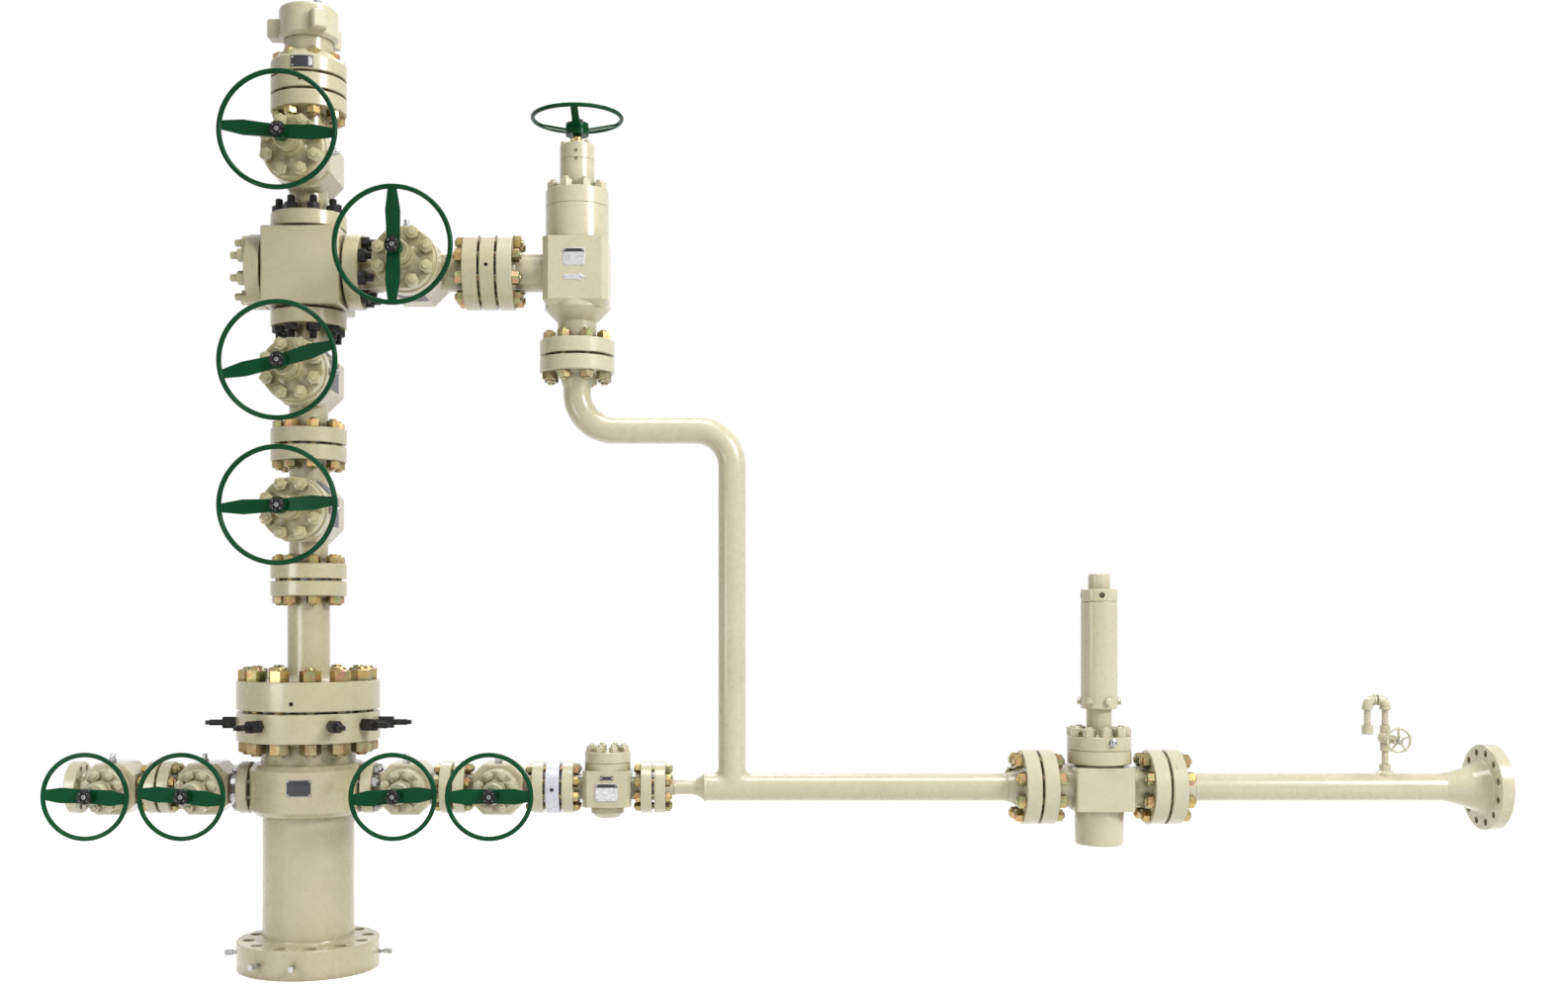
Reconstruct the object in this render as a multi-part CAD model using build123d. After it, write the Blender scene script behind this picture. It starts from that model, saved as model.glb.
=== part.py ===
from build123d import *
import os
from dataclasses import dataclass

os.makedirs("parts", exist_ok=True)

# Millimetres, +Z up. The origin is the centre of the wellhead flange's lower face,
# +X runs along the flow line and the handwheels look towards -Y.

# Large flanges of the tubing head, 11 inch
head_flange_od = 584.0
head_flange_thick = 119.0
head_bolt_circle = 482.6
head_bolt_hole = 51.0
head_bolt_count = 12
head_bore = 279.4
head_ring_od = 335.0

# Flanges of the tree, 4 1/16 inch
tree_flange_od = 311.0
tree_flange_thick = 62.0
tree_bore = 103.2
tree_ring_od = 173.0

# Flanges of the annulus outlets, 2 1/16 inch
side_flange_od = 216.0
side_flange_thick = 46.0
side_bolt_circle = 165.1
side_bolt_hole = 26.0
side_bolt_count = 8
side_bore = 52.4
side_ring_od = 106.0

# Flange at the end of the flow line, 6 inch
end_flange_od = 355.6
end_flange_thick = 54.0
end_bolt_circle = 292.1
end_bolt_hole = 28.6
end_bolt_count = 12
end_bore = 146.3

# What every joint shares
flange_gap = 10.0
ring_wall = 11.0
edge_break = 3.0
pipe_seat = 1.0

# Tubing head
head_height = 1064.0
head_body_od = 376.0
head_neck_od = 388.0
outlet_body_od = 480.0
outlet_flat_depth = 18.0
outlet_body_height = 210.0
outlet_bevel = 22.0
outlet_drop = 319.0
head_corner = 18.0
lock_gland_od = 54.0
lock_gland_long = 62.0
lock_stem_od = 25.0
lock_stem_long = 56.0
lock_square = 17.0
lock_drop = 48.0
lock_turns = (-148.0, -88.0, -28.0, 32.0, 62.0, 92.0, 152.0)
port_turns = (-88.0, -28.0, 2.0, 92.0)
port_stem_od = 16.0
port_stem_long = 22.0
port_cap_od = 26.0
port_cap_long = 32.0

# Tubing head adapter
adapter_height = 530.0
adapter_neck_od = 174.0
adapter_corner = 26.0
adapter_port_od = 18.0
adapter_port_rise = 33.0
adapter_port_deep = 40.0

# Large gate valve
big_length = 549.0
big_neck_od = 160.0
big_block_run = 250.0
big_block_wide = 244.0
big_block_cut = 60.0
big_block_front = 150.0
big_block_back = 120.0
big_barrel_od = 264.0
big_joint = 228.0
big_back_od = 200.0
big_back_long = 46.0
big_seat_long = 64.0
big_throat_od = 226.0
big_bonnet_thick = 56.0
big_plate_od = 288.0
big_plate_round = 20.0
big_hub_od = 98.0
big_hub_long = 68.0
big_cap_od = 88.0
big_cap_long = 60.0
big_stem_od = 38.0
big_wheel_plane = 505.0
big_wheel_od = 468.0
big_wheel_rim = 20.0
big_arm_root = 48.0
big_arm_wide = 58.0
big_arm_end = 32.0
big_arm_thick = 11.0
big_dish = 25.0
big_boss_od = 66.0
big_boss_long = 44.0

# Small gate valve
small_length = 371.0
small_neck_od = 104.0
small_block_run = 206.0
small_block_wide = 210.0
small_block_cut = 44.0
small_block_front = 88.0
small_block_back = 92.0
small_barrel_od = 176.0
small_joint = 128.0
small_back_od = 150.0
small_back_long = 34.0
small_seat_long = 42.0
small_throat_od = 156.0
small_bonnet_thick = 38.0
small_plate_od = 192.0
small_plate_round = 14.0
small_hub_od = 94.0
small_hub_long = 52.0
small_cap_od = 86.0
small_cap_long = 46.0
small_stem_od = 30.0
small_wheel_plane = 355.0
small_wheel_od = 350.0
small_wheel_rim = 19.0
small_arm_root = 54.0
small_arm_wide = 62.0
small_arm_end = 38.0
small_arm_thick = 10.0
small_dish = 18.0
small_boss_od = 62.0
small_boss_long = 40.0

# What both sizes of gate valve share
plate_sides = 8
arm_broadest = 0.6
cap_seam = 4.0

# Stems in their bonnets
stem_play = 0.3
stem_deep = 50.0
stem_end_gap = 1.0

# How the handwheels happen to stand, anticlockwise from level
turn_lower_master = 3.5
turn_upper_master = 15.0
turn_swab = -4.0
turn_wing = 90.0
turn_outer_left = -3.0
turn_inner_left = -5.0
turn_inner_right = 4.0
turn_outer_right = 0.0

# Flow cross, test rings and tree cap
cross_size = 320.0
cross_bevel = 6.0
blind_thick = 62.0
tree_test_ring = 60.0
side_test_ring = 58.0
test_port = 16.0
test_port_deep = 30.0
cap_flange_thick = 58.0
cap_bevel_rise = 30.0
cap_bevel_in = 26.0
cap_neck_od = 198.0
cap_neck_long = 70.0
nut_od = 242.0
nut_height = 134.0
nut_deep = 46.0
nut_play = 1.0
nut_round = 14.0
lug_out = 47.0
lug_wide = 60.0
lug_tall = 78.0
lug_rise = 12.0
lug_count = 3
lug_turn = 29.0

# Choke
choke_reach = 321.0
choke_neck_od = 162.0
choke_block = 268.0
choke_block_below = 158.0
choke_block_above = 124.0
choke_block_cut = 24.0
choke_barrel_od = 262.0
choke_barrel_long = 140.0
choke_cone_long = 54.0
choke_drop = 351.0
choke_bonnet_thick = 70.0
choke_tower_od = 144.0
choke_tower_long = 196.0
choke_seam = 68.0
choke_stem_od = 32.0
choke_stem_free = 40.0
choke_wheel_od = 388.0
choke_wheel_rim = 18.0
choke_wheel_rise = 48.0
choke_spoke_wide = 30.0
choke_spoke_thick = 9.0
choke_boss_od = 96.0
choke_boss_long = 48.0
choke_spokes = 3

# Flow line pipes
line_pipe_od = 114.3
line_pipe_bore = 87.3
line_hub_od = 152.0
line_hub_long = 62.0
bend_radius = 152.0
riser_drop = 144.0
riser_across = 646.0
stub_height = 96.0
stub_fillet = 18.0
small_pipe_od = 60.3
small_pipe_bore = 43.0
small_weld_od = 92.0
small_weld_long = 36.0
small_pipe_end = 167.0
reducer_long = 42.0
header_long = 1587.0
outlet_long = 1380.0
end_pipe_od = 168.3
end_hub_od = 222.0
end_hub_long = 62.0
end_reducer_long = 92.0

# Check valve
check_length = 371.0
check_neck_od = 104.0
check_wide = 200.0
check_tall = 150.0
check_deep = 186.0
check_cut = 18.0
check_ring_od = 190.0
check_ring_top = 104.0
check_cap_thick = 48.0
check_foot_od = 140.0
check_foot_drop = 122.0

# Surface safety valve
safety_length = 515.0
safety_neck_od = 172.0
safety_wide = 244.0
safety_tall = 180.0
safety_deep = 236.0
safety_round = 12.0
safety_foot_od = 202.0
safety_foot_drop = 238.0
safety_ring_od = 262.0
safety_ring_top = 158.0
safety_bonnet_thick = 58.0
safety_neck_long = 112.0
safety_stalk_od = 104.0
safety_cylinder_od = 150.0
safety_cylinder_long = 446.0
safety_head_long = 52.0
safety_seam = 3.0
safety_cap_od = 90.0
safety_cap_long = 64.0
safety_port = 24.0
safety_port_turns = (-5.0, -95.0)

# Bleed line on the outlet pipe
bleed_along = 926.0
bleed_boss_od = 46.0
bleed_boss_top = 96.0
bleed_boss_flare = 14.0
bleed_pipe_od = 26.7
bleed_nipple = 56.0
bleed_body_tall = 106.0
bleed_end_od = 42.0
bleed_end_tall = 30.0
bleed_ball_od = 58.0
bleed_bonnet_od = 36.0
bleed_bonnet_out = 78.0
bleed_stem_od = 12.0
bleed_wheel_out = 128.0
bleed_wheel_od = 104.0
bleed_wheel_rim = 9.0
bleed_hub_od = 34.0
bleed_spokes = 5
bleed_riser = 80.0
bleed_elbow_od = 40.0
bleed_elbow_radius = 26.0
bleed_collar = 14.0
bleed_collar_od = 45.0
bleed_span = 74.0
bleed_tail = 98.0
bleed_mouth_od = 45.0
bleed_mouth_long = 38.0
bleed_mouth_bore = 21.0

TO_FRONT = Rot(90, 0, 0)
TO_RIGHT = Rot(0, 90, 0)
TO_LEFT = Rot(0, -90, 0)


@dataclass(frozen=True)
class Flange:
    """One size of flange, with the outside size of its gasket ring."""

    od: float
    thick: float
    ring: float


@dataclass(frozen=True)
class Valve:
    """One size of gate valve: its run, its block, its bonnet and its handwheel."""

    flange: Flange
    length: float
    neck_od: float
    run: float
    wide: float
    cut: float
    front: float
    back: float
    barrel_od: float
    joint: float
    back_od: float
    back_long: float
    seat_long: float
    throat_od: float
    bonnet_thick: float
    plate_od: float
    plate_round: float
    hub_od: float
    hub_long: float
    cap_od: float
    cap_long: float
    stem_od: float
    wheel_plane: float
    wheel_od: float
    rim: float
    arm_root: float
    arm_wide: float
    arm_end: float
    arm_thick: float
    dish: float
    boss_od: float
    boss_long: float

    @property
    def stem_mouth(self):
        return self.joint + self.bonnet_thick + self.hub_long + self.cap_long


TREE = Flange(tree_flange_od, tree_flange_thick, tree_ring_od)
SIDE = Flange(side_flange_od, side_flange_thick, side_ring_od)
HEAD = Flange(head_flange_od, head_flange_thick, head_ring_od)

BIG = Valve(
    TREE, big_length, big_neck_od, big_block_run, big_block_wide, big_block_cut,
    big_block_front, big_block_back, big_barrel_od, big_joint, big_back_od, big_back_long,
    big_seat_long, big_throat_od, big_bonnet_thick, big_plate_od, big_plate_round,
    big_hub_od, big_hub_long, big_cap_od, big_cap_long, big_stem_od,
    big_wheel_plane, big_wheel_od, big_wheel_rim, big_arm_root, big_arm_wide, big_arm_end,
    big_arm_thick, big_dish, big_boss_od, big_boss_long,
)
SMALL = Valve(
    SIDE, small_length, small_neck_od, small_block_run, small_block_wide, small_block_cut,
    small_block_front, small_block_back, small_barrel_od, small_joint, small_back_od, small_back_long,
    small_seat_long, small_throat_od, small_bonnet_thick, small_plate_od, small_plate_round,
    small_hub_od, small_hub_long, small_cap_od, small_cap_long, small_stem_od,
    small_wheel_plane, small_wheel_od, small_wheel_rim, small_arm_root, small_arm_wide, small_arm_end,
    small_arm_thick, small_dish, small_boss_od, small_boss_long,
)

# Heights up the stack
z_adapter = head_height + flange_gap
z_lower_master = z_adapter + adapter_height + flange_gap
z_upper_master = z_lower_master + big_length + flange_gap
z_cross = z_upper_master + big_length + flange_gap
z_wing = z_cross + cross_size / 2
z_swab = z_cross + cross_size + flange_gap
z_cap_ring = z_swab + big_length + flange_gap
z_cap = z_cap_ring + tree_test_ring + flange_gap

# Places along the wing
x_wing = cross_size / 2 + flange_gap
x_wing_ring = x_wing + big_length + flange_gap
x_choke_face = x_wing_ring + tree_test_ring + flange_gap
x_choke = x_choke_face + choke_reach
z_choke_face = z_wing - choke_drop
z_riser_face = z_choke_face - flange_gap
x_tee = x_choke + riser_across

# Places along the lower run
outlet_across = outlet_body_od - 2 * outlet_flat_depth
x_side = outlet_across / 2 + flange_gap
x_side_outer = x_side + small_length + flange_gap
x_side_end = x_side_outer + small_length
x_side_ring = x_side_end + flange_gap
x_check = x_side_ring + side_test_ring + flange_gap
x_header = x_check + check_length + flange_gap
x_safety = x_header + header_long + flange_gap
x_outlet = x_safety + safety_length + flange_gap
x_bleed = x_outlet + bleed_along
z_run = head_height - outlet_drop


def turned(*outline):
    """A piece turned about Z. Each corner is (radius, height) or (radius, height, rounding)."""
    corners = [(c[0], 0, c[1]) for c in outline]
    rounding = [c[2] if len(c) == 3 else 0 for c in outline]
    return revolve(make_face(FilletPolyline(*corners, radius=rounding, close=True)), Axis.Z)


def rim(radius, low, high):
    """The outer corners of a disc, with its edges broken."""
    return (
        (radius - edge_break, low),
        (radius, low + edge_break),
        (radius, high - edge_break),
        (radius - edge_break, high),
    )


def rod(diameter, low, high):
    """A round bar about Z between two heights."""
    return Pos(0, 0, (low + high) / 2) * Cylinder(diameter / 2, high - low)


def ring_of(shape, count, start=0.0):
    """Copies of a shape round Z."""
    return [Rot(0, 0, start + 360 / count * k) * shape for k in range(count)]


def bolt_holes(circle, hole, count, low, high):
    """Holes on a bolt circle, straddling the centre lines."""
    return ring_of(Pos(circle / 2, 0, 0) * rod(hole, low, high), count, 180 / count)


def gasket(size):
    """The ring that stands in the gap between two flanges, from height 0 up."""
    return rod(size.ring, 0, flange_gap) - rod(size.ring - 2 * ring_wall, 0, flange_gap)


def tubing_head():
    """The long spool: base flange, barrel, outlet body with two flats, neck and top flange."""
    base = head_flange_od / 2
    low = z_run - outlet_body_height / 2
    high = z_run + outlet_body_height / 2
    under = head_height - head_flange_thick
    spool = turned(
        (head_bore / 2, 0),
        *rim(base, 0, head_flange_thick),
        (head_body_od / 2, head_flange_thick, head_corner),
        (head_body_od / 2, low),
        (outlet_body_od / 2 - outlet_bevel, low),
        (outlet_body_od / 2, low + outlet_bevel),
        (outlet_body_od / 2, high - outlet_bevel),
        (outlet_body_od / 2 - outlet_bevel, high),
        (head_neck_od / 2, high),
        (head_neck_od / 2, under, head_corner),
        *rim(base, under, head_height),
        (head_bore / 2, head_height),
    )
    spare = outlet_flat_depth + 1
    for side in (-1, 1):
        flat = Box(spare, outlet_body_od, outlet_body_height)
        spool -= Pos(side * (outlet_across + spare) / 2, 0, z_run) * flat
    spool -= bolt_holes(head_bolt_circle, head_bolt_hole, head_bolt_count, 0, head_flange_thick)
    return spool


def lock_screw():
    """One lockdown screw along Z: a hexagonal gland nut and a stem with a square end."""
    gland = extrude(RegularPolygon(lock_gland_od / 2, 6), lock_gland_long)
    stem = rod(lock_stem_od, lock_gland_long, lock_gland_long + lock_stem_long)
    square = Box(lock_square, lock_square, lock_square)
    tip = Pos(0, 0, lock_gland_long + lock_stem_long + lock_square / 2) * square
    return gland + stem + tip


def lockdown_screws():
    """The lockdown screws that stand out round the head's top flange."""
    height = head_height - lock_drop
    seat = head_flange_od / 2 - pipe_seat
    screw = Pos(0, -seat, height) * TO_FRONT * lock_screw()
    body = rod(head_flange_od, height - lock_gland_od, height + lock_gland_od)
    return [Rot(0, 0, turn) * (screw - body) for turn in lock_turns]


def test_fitting():
    """One capped test fitting along Z."""
    stem = rod(port_stem_od, 0, port_stem_long)
    cap = extrude(RegularPolygon(port_cap_od / 2, 6), port_cap_long)
    return stem + Pos(0, 0, port_stem_long) * cap


def base_fittings():
    """Test fittings round the base flange."""
    height = head_flange_thick / 2
    seat = head_flange_od / 2 - pipe_seat
    fitting = Pos(0, -seat, height) * TO_FRONT * test_fitting()
    body = rod(head_flange_od, 0, head_flange_thick)
    return [Rot(0, 0, turn) * (fitting - body) for turn in port_turns]


def adapter():
    """The tubing head adapter: large flange with a test port, slender neck, tree flange."""
    top = adapter_height - tree_flange_thick
    spool = turned(
        (tree_bore / 2, 0),
        *rim(head_flange_od / 2, 0, head_flange_thick),
        (adapter_neck_od / 2, head_flange_thick, adapter_corner),
        (adapter_neck_od / 2, top, adapter_corner / 2),
        *rim(tree_flange_od / 2, top, adapter_height),
        (tree_bore / 2, adapter_height),
    )
    port = TO_FRONT * rod(adapter_port_od, head_flange_od / 2 - adapter_port_deep, head_flange_od / 2)
    return Pos(0, 0, z_adapter) * (spool - Pos(0, 0, adapter_port_rise) * port)


def flanged_run(size, length, neck_od, corner):
    """Two flanges on a straight neck, along Z and centred."""
    half = length / 2
    return turned(
        (0, -half),
        *rim(size.od / 2, -half, -half + size.thick),
        (neck_od / 2, -half + size.thick, corner),
        (neck_od / 2, half - size.thick, corner),
        *rim(size.od / 2, half - size.thick, half),
        (0, half),
    )


def valve_block(v):
    """The forged block of a gate valve, corners cut, looking along -Y."""
    w = v.wide / 2
    h = v.run / 2
    c = v.cut
    face = Polyline(
        (w, h - c), (w - c, h), (c - w, h), (-w, h - c),
        (-w, c - h), (c - w, -h), (w - c, -h), (w, c - h), close=True,
    )
    block = extrude(TO_FRONT * make_face(face), v.front + v.back)
    slab = Pos(0, v.back - block.bounding_box().max.Y, 0) * block
    return chamfer(slab.edges().filter_by(Axis.Y, reverse=True), v.cut / 6)


def valve_body(v):
    """A gate valve's body: run along Z, throat and bonnet seat towards -Y, blind boss behind."""
    run = flanged_run(v.flange, v.length, v.neck_od, v.flange.thick / 4)
    throat = TO_FRONT * rod(v.throat_od, 0, v.joint)
    seat = turned(
        (0, v.joint - v.seat_long), *rim(v.barrel_od / 2, v.joint - v.seat_long, v.joint), (0, v.joint)
    )
    boss = Rot(-90, 0, 0) * turned(
        (0, 0), (v.back_od / 2, 0), (v.back_od / 2, v.back + v.back_long, v.back_long / 3),
        (0, v.back + v.back_long),
    )
    return run + valve_block(v) + throat + TO_FRONT * seat + boss


def bonnet_plate(v):
    """The bolted plate of a bonnet, with a rounded corner at each stud."""
    outline = RegularPolygon(v.plate_od / 2, plate_sides, rotation=180 / plate_sides)
    plate = extrude(fillet(outline.vertices(), v.plate_round), v.bonnet_thick)
    return Pos(0, 0, v.joint) * chamfer(plate.edges().group_by(Axis.Z)[-1], edge_break)


def valve_bonnet(v):
    """A gate valve's bonnet: bolted plate, hub and bearing cap, bored for the stem."""
    b = v.joint + v.bonnet_thick
    c = b + v.hub_long
    d = v.stem_mouth
    hole = v.stem_od / 2
    hub = turned(
        (0, v.joint),
        (v.hub_od / 2 + edge_break, v.joint),
        (v.hub_od / 2 + edge_break, b),
        (v.hub_od / 2, b + edge_break),
        (v.hub_od / 2, c - cap_seam),
        (v.cap_od / 2 - cap_seam, c - cap_seam),
        (v.cap_od / 2 - cap_seam, c),
        (v.cap_od / 2, c),
        (v.cap_od / 2, d - edge_break),
        (v.cap_od / 2 - edge_break, d),
        (hole, d),
        (hole, d - stem_deep),
        (0, d - stem_deep),
    )
    room = rod(v.stem_od, d - stem_deep, d)
    return TO_FRONT * (bonnet_plate(v) - room + hub)


def wheel_arms(v):
    """The bar across a handwheel: broad part-way out, narrow at the rim, dished at the boss."""
    reach = (v.wheel_od - v.rim) / 2
    broad = reach * arm_broadest
    flat = v.boss_od / 2
    arm = ((broad, v.arm_wide), (reach, v.arm_end))
    edge = [(-x, w) for x, w in reversed(arm)] + [(0, v.arm_root), *arm]
    outline = [(x, w / 2) for x, w in edge] + [(x, -w / 2) for x, w in reversed(edge)]
    deep = v.dish + v.arm_thick
    plan = Pos(0, 0, -deep) * extrude(make_face(Polyline(*outline, close=True)), deep + v.arm_thick)
    bend = ((-reach, 0), (-flat, -v.dish), (flat, -v.dish), (reach, 0))
    half = v.arm_thick / 2
    side = [(x, 0, z + half) for x, z in bend] + [(x, 0, z - half) for x, z in reversed(bend)]
    bar = extrude(make_face(Polyline(*side, close=True)), v.arm_wide, dir=(0, 1, 0), both=True)
    return plan & bar


def handwheel(v, turn):
    """A handwheel on its stem, facing -Y, turned as it happens to stand."""
    ring = Torus((v.wheel_od - v.rim) / 2, v.rim / 2)
    boss = Pos(0, 0, -v.dish) * rod(v.boss_od, -v.boss_long / 2, v.boss_long / 2)
    deep = v.stem_mouth - stem_deep + stem_end_gap - v.wheel_plane
    stem = rod(v.stem_od - 2 * stem_play, deep, -v.dish)
    wheel = ring + wheel_arms(v) + boss + stem
    return Pos(0, -v.wheel_plane, 0) * TO_FRONT * Rot(0, 0, turn) * wheel


def flow_cross():
    """The square forged cross, edges bevelled."""
    block = Box(cross_size, cross_size, cross_size)
    return Pos(0, 0, z_wing) * chamfer(block.edges(), cross_bevel)


def blind_flange():
    """The blind flange on the cross's left side."""
    disc = turned((0, 0), *rim(tree_flange_od / 2, 0, blind_thick), (0, blind_thick))
    return Pos(-cross_size / 2 - flange_gap, 0, z_wing) * TO_LEFT * disc


def test_ring(size, bore, thick):
    """A spacer ring with one test port towards the front, from height 0 up."""
    disc = turned((bore / 2, 0), *rim(size.od / 2, 0, thick), (bore / 2, thick))
    port = TO_FRONT * rod(test_port, size.od / 2 - test_port_deep, size.od / 2)
    return disc - Pos(0, 0, thick / 2) * port


def tree_test_rings():
    """The two large test rings: below the tree cap and before the choke."""
    ring = test_ring(TREE, tree_bore, tree_test_ring)
    return [Pos(0, 0, z_cap_ring) * ring, Pos(x_wing_ring, 0, z_wing) * TO_RIGHT * ring]


def side_ring():
    """The small test ring before the check valve."""
    ring = test_ring(SIDE, side_bore, side_test_ring)
    return Pos(x_side_ring, 0, z_run) * TO_RIGHT * ring


def tree_cap():
    """The tree cap's lower part: bevelled flange and the neck that enters the wing nut."""
    r = tree_flange_od / 2
    bevel = cap_flange_thick + cap_bevel_rise
    top = bevel + cap_neck_long + nut_deep
    return Pos(0, 0, z_cap) * turned(
        (0, 0),
        (r - edge_break, 0),
        (r, edge_break),
        (r, cap_flange_thick),
        (r - cap_bevel_in, bevel),
        (cap_neck_od / 2, bevel, cap_bevel_in / 3),
        (cap_neck_od / 2, top),
        (0, top),
    )


def cap_nut():
    """The wing nut of the tree cap with its hammer lugs."""
    r = nut_od / 2
    mouth = cap_neck_od / 2 + nut_play
    nut = turned(
        (mouth, 0), (r - nut_round, 0), (r, nut_round), (r, nut_height, nut_round),
        (0, nut_height), (0, nut_deep), (mouth, nut_deep),
    )
    block = Box(lug_out + r / 2, lug_wide, lug_tall)
    block = chamfer(block.edges().group_by(Axis.X)[-1], lug_wide / 8)
    lug = Pos(r / 2 + (lug_out + r / 2) / 2, 0, lug_rise + lug_tall / 2) * block
    lug -= rod(2 * mouth, 0, nut_deep)
    for one in ring_of(lug, lug_count, lug_turn - 90):
        nut += one
    return Pos(0, 0, z_cap + cap_flange_thick + cap_bevel_rise + cap_neck_long) * nut


def choke_body():
    """The choke's body: side inlet, square block, barrel above and outlet flange below."""
    r = tree_flange_od / 2
    inlet = turned(
        (0, 0), *rim(r, 0, tree_flange_thick), (choke_neck_od / 2, tree_flange_thick, 14),
        (choke_neck_od / 2, choke_reach), (0, choke_reach),
    )
    inlet = Pos(-choke_reach, 0, 0) * TO_RIGHT * inlet
    tall = choke_block_below + choke_block_above
    block = Box(choke_block, choke_block, tall)
    block = chamfer(block.edges().filter_by(Axis.Z), choke_block_cut)
    block = chamfer(block.edges().group_by(Axis.Z)[0], choke_block_cut)
    block = Pos(0, 0, (choke_block_above - choke_block_below) / 2) * block
    barrel = rod(choke_barrel_od, choke_block_above, choke_block_above + choke_barrel_long)
    cone_foot = -choke_block_below - choke_cone_long
    foot = turned(
        (0, 0), (choke_block / 2, 0), (choke_block / 2, -choke_block_below),
        (choke_neck_od / 2, cone_foot), (choke_neck_od / 2, tree_flange_thick - choke_drop, 10),
        *reversed(rim(r, -choke_drop, tree_flange_thick - choke_drop)), (0, -choke_drop),
    )
    return Pos(x_choke, 0, z_wing) * (inlet + block + barrel + foot)


def choke_bonnet():
    """The choke's bonnet: bolted disc and the tower that carries the stem."""
    low = z_wing + choke_block_above + choke_barrel_long
    top = choke_bonnet_thick + choke_tower_long
    seam = top - choke_seam
    hole = choke_stem_od / 2
    return Pos(x_choke, 0, low) * turned(
        (0, 0), *rim(choke_barrel_od / 2, 0, choke_bonnet_thick),
        (choke_tower_od / 2, choke_bonnet_thick, 8),
        (choke_tower_od / 2, seam - 2), (choke_tower_od / 2 - 2, seam),
        (choke_tower_od / 2, seam + 2), (choke_tower_od / 2, top - 6),
        (choke_tower_od / 2 - 6, top), (hole, top), (hole, top - stem_deep), (0, top - stem_deep),
    )


z_choke_mouth = (
    z_wing + choke_block_above + choke_barrel_long + choke_bonnet_thick + choke_tower_long
)
z_choke_boss = z_choke_mouth + choke_stem_free


def choke_handwheel():
    """The choke's level handwheel: boss on the stem, spokes rising to the rim."""
    radius = (choke_wheel_od - choke_wheel_rim) / 2
    level = choke_boss_long / 2 + choke_wheel_rise
    wheel = Pos(0, 0, level) * Torus(radius, choke_wheel_rim / 2)
    wheel += rod(choke_boss_od, 0, choke_boss_long)
    wheel += rod(choke_stem_od - 2 * stem_play, -choke_stem_free - stem_deep + stem_end_gap, 0)
    start = choke_boss_od / 4
    low = choke_boss_long / 2
    half = choke_spoke_thick / 2
    side = Polyline(
        (start, 0, low - half), (radius, 0, level - half), (radius, 0, level + half),
        (start, 0, low + half), close=True,
    )
    spoke = extrude(make_face(side), choke_spoke_wide / 2, dir=(0, 1, 0), both=True)
    for one in ring_of(spoke, choke_spokes, -90):
        wheel += one
    return Pos(x_choke, 0, z_choke_boss) * wheel


def weld_neck(size_od, thick, bore, hub_od, hub_long, pipe_od):
    """A weld-neck flange from height 0 up, its hub tapering to the pipe."""
    return turned(
        (bore / 2, 0), *rim(size_od / 2, 0, thick), (hub_od / 2, thick, 8),
        (pipe_od / 2, thick + hub_long), (bore / 2, thick + hub_long),
    )


def riser_path():
    """The riser's centre line from the choke down, across and down to the tee stub."""
    level = z_riser_face - riser_drop - bend_radius
    low = z_run + stub_height
    hub = z_riser_face - tree_flange_thick - line_hub_long
    return FilletPolyline(
        (x_choke, 0, hub), (x_choke, 0, level), (x_tee, 0, level), (x_tee, 0, low),
        radius=bend_radius,
    )


def riser_pipe():
    """The bent pipe from the choke to the header, with its weld-neck flange on top."""
    path = riser_path()
    start = Plane(path @ 0, z_dir=path % 0)
    outer = sweep(start * Circle(line_pipe_od / 2), path)
    inner = sweep(start * Circle(line_pipe_bore / 2), path)
    neck = weld_neck(
        tree_flange_od, tree_flange_thick, line_pipe_bore, line_hub_od, line_hub_long, line_pipe_od
    )
    neck = Pos(x_choke, 0, z_riser_face) * Rot(180, 0, 0) * neck
    return neck + (outer - inner)


def header_pipe():
    """The header: small weld-neck flange, reducer, line pipe with a tee stub, tree flange."""
    s = small_pipe_od / 2
    p = line_pipe_od / 2
    hub = header_long - tree_flange_thick
    wide = small_pipe_end + reducer_long
    shell = turned(
        (0, 0), *rim(side_flange_od / 2, 0, side_flange_thick),
        (small_weld_od / 2, side_flange_thick, 5), (s, side_flange_thick + small_weld_long),
        (s, small_pipe_end), (p, wide), (p, hub - line_hub_long), (line_hub_od / 2, hub, 8),
        *rim(tree_flange_od / 2, hub, header_long), (0, header_long),
    )
    shell = Pos(x_header, 0, z_run) * TO_RIGHT * shell
    stub = Pos(x_tee, 0, z_run) * turned(
        (0, 0), (p + stub_fillet, 0), (p + stub_fillet, p), (p, p + stub_fillet),
        (p, stub_height), (0, stub_height),
    )
    bore = turned(
        (0, 0), (small_pipe_bore / 2, 0), (small_pipe_bore / 2, small_pipe_end),
        (line_pipe_bore / 2, wide), (line_pipe_bore / 2, header_long), (0, header_long),
    )
    bore = Pos(x_header, 0, z_run) * TO_RIGHT * bore
    return shell + stub - bore - Pos(x_tee, 0, z_run) * rod(line_pipe_bore, 0, stub_height)


outlet_weld = outlet_long - end_flange_thick - end_hub_long - end_reducer_long


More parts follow.
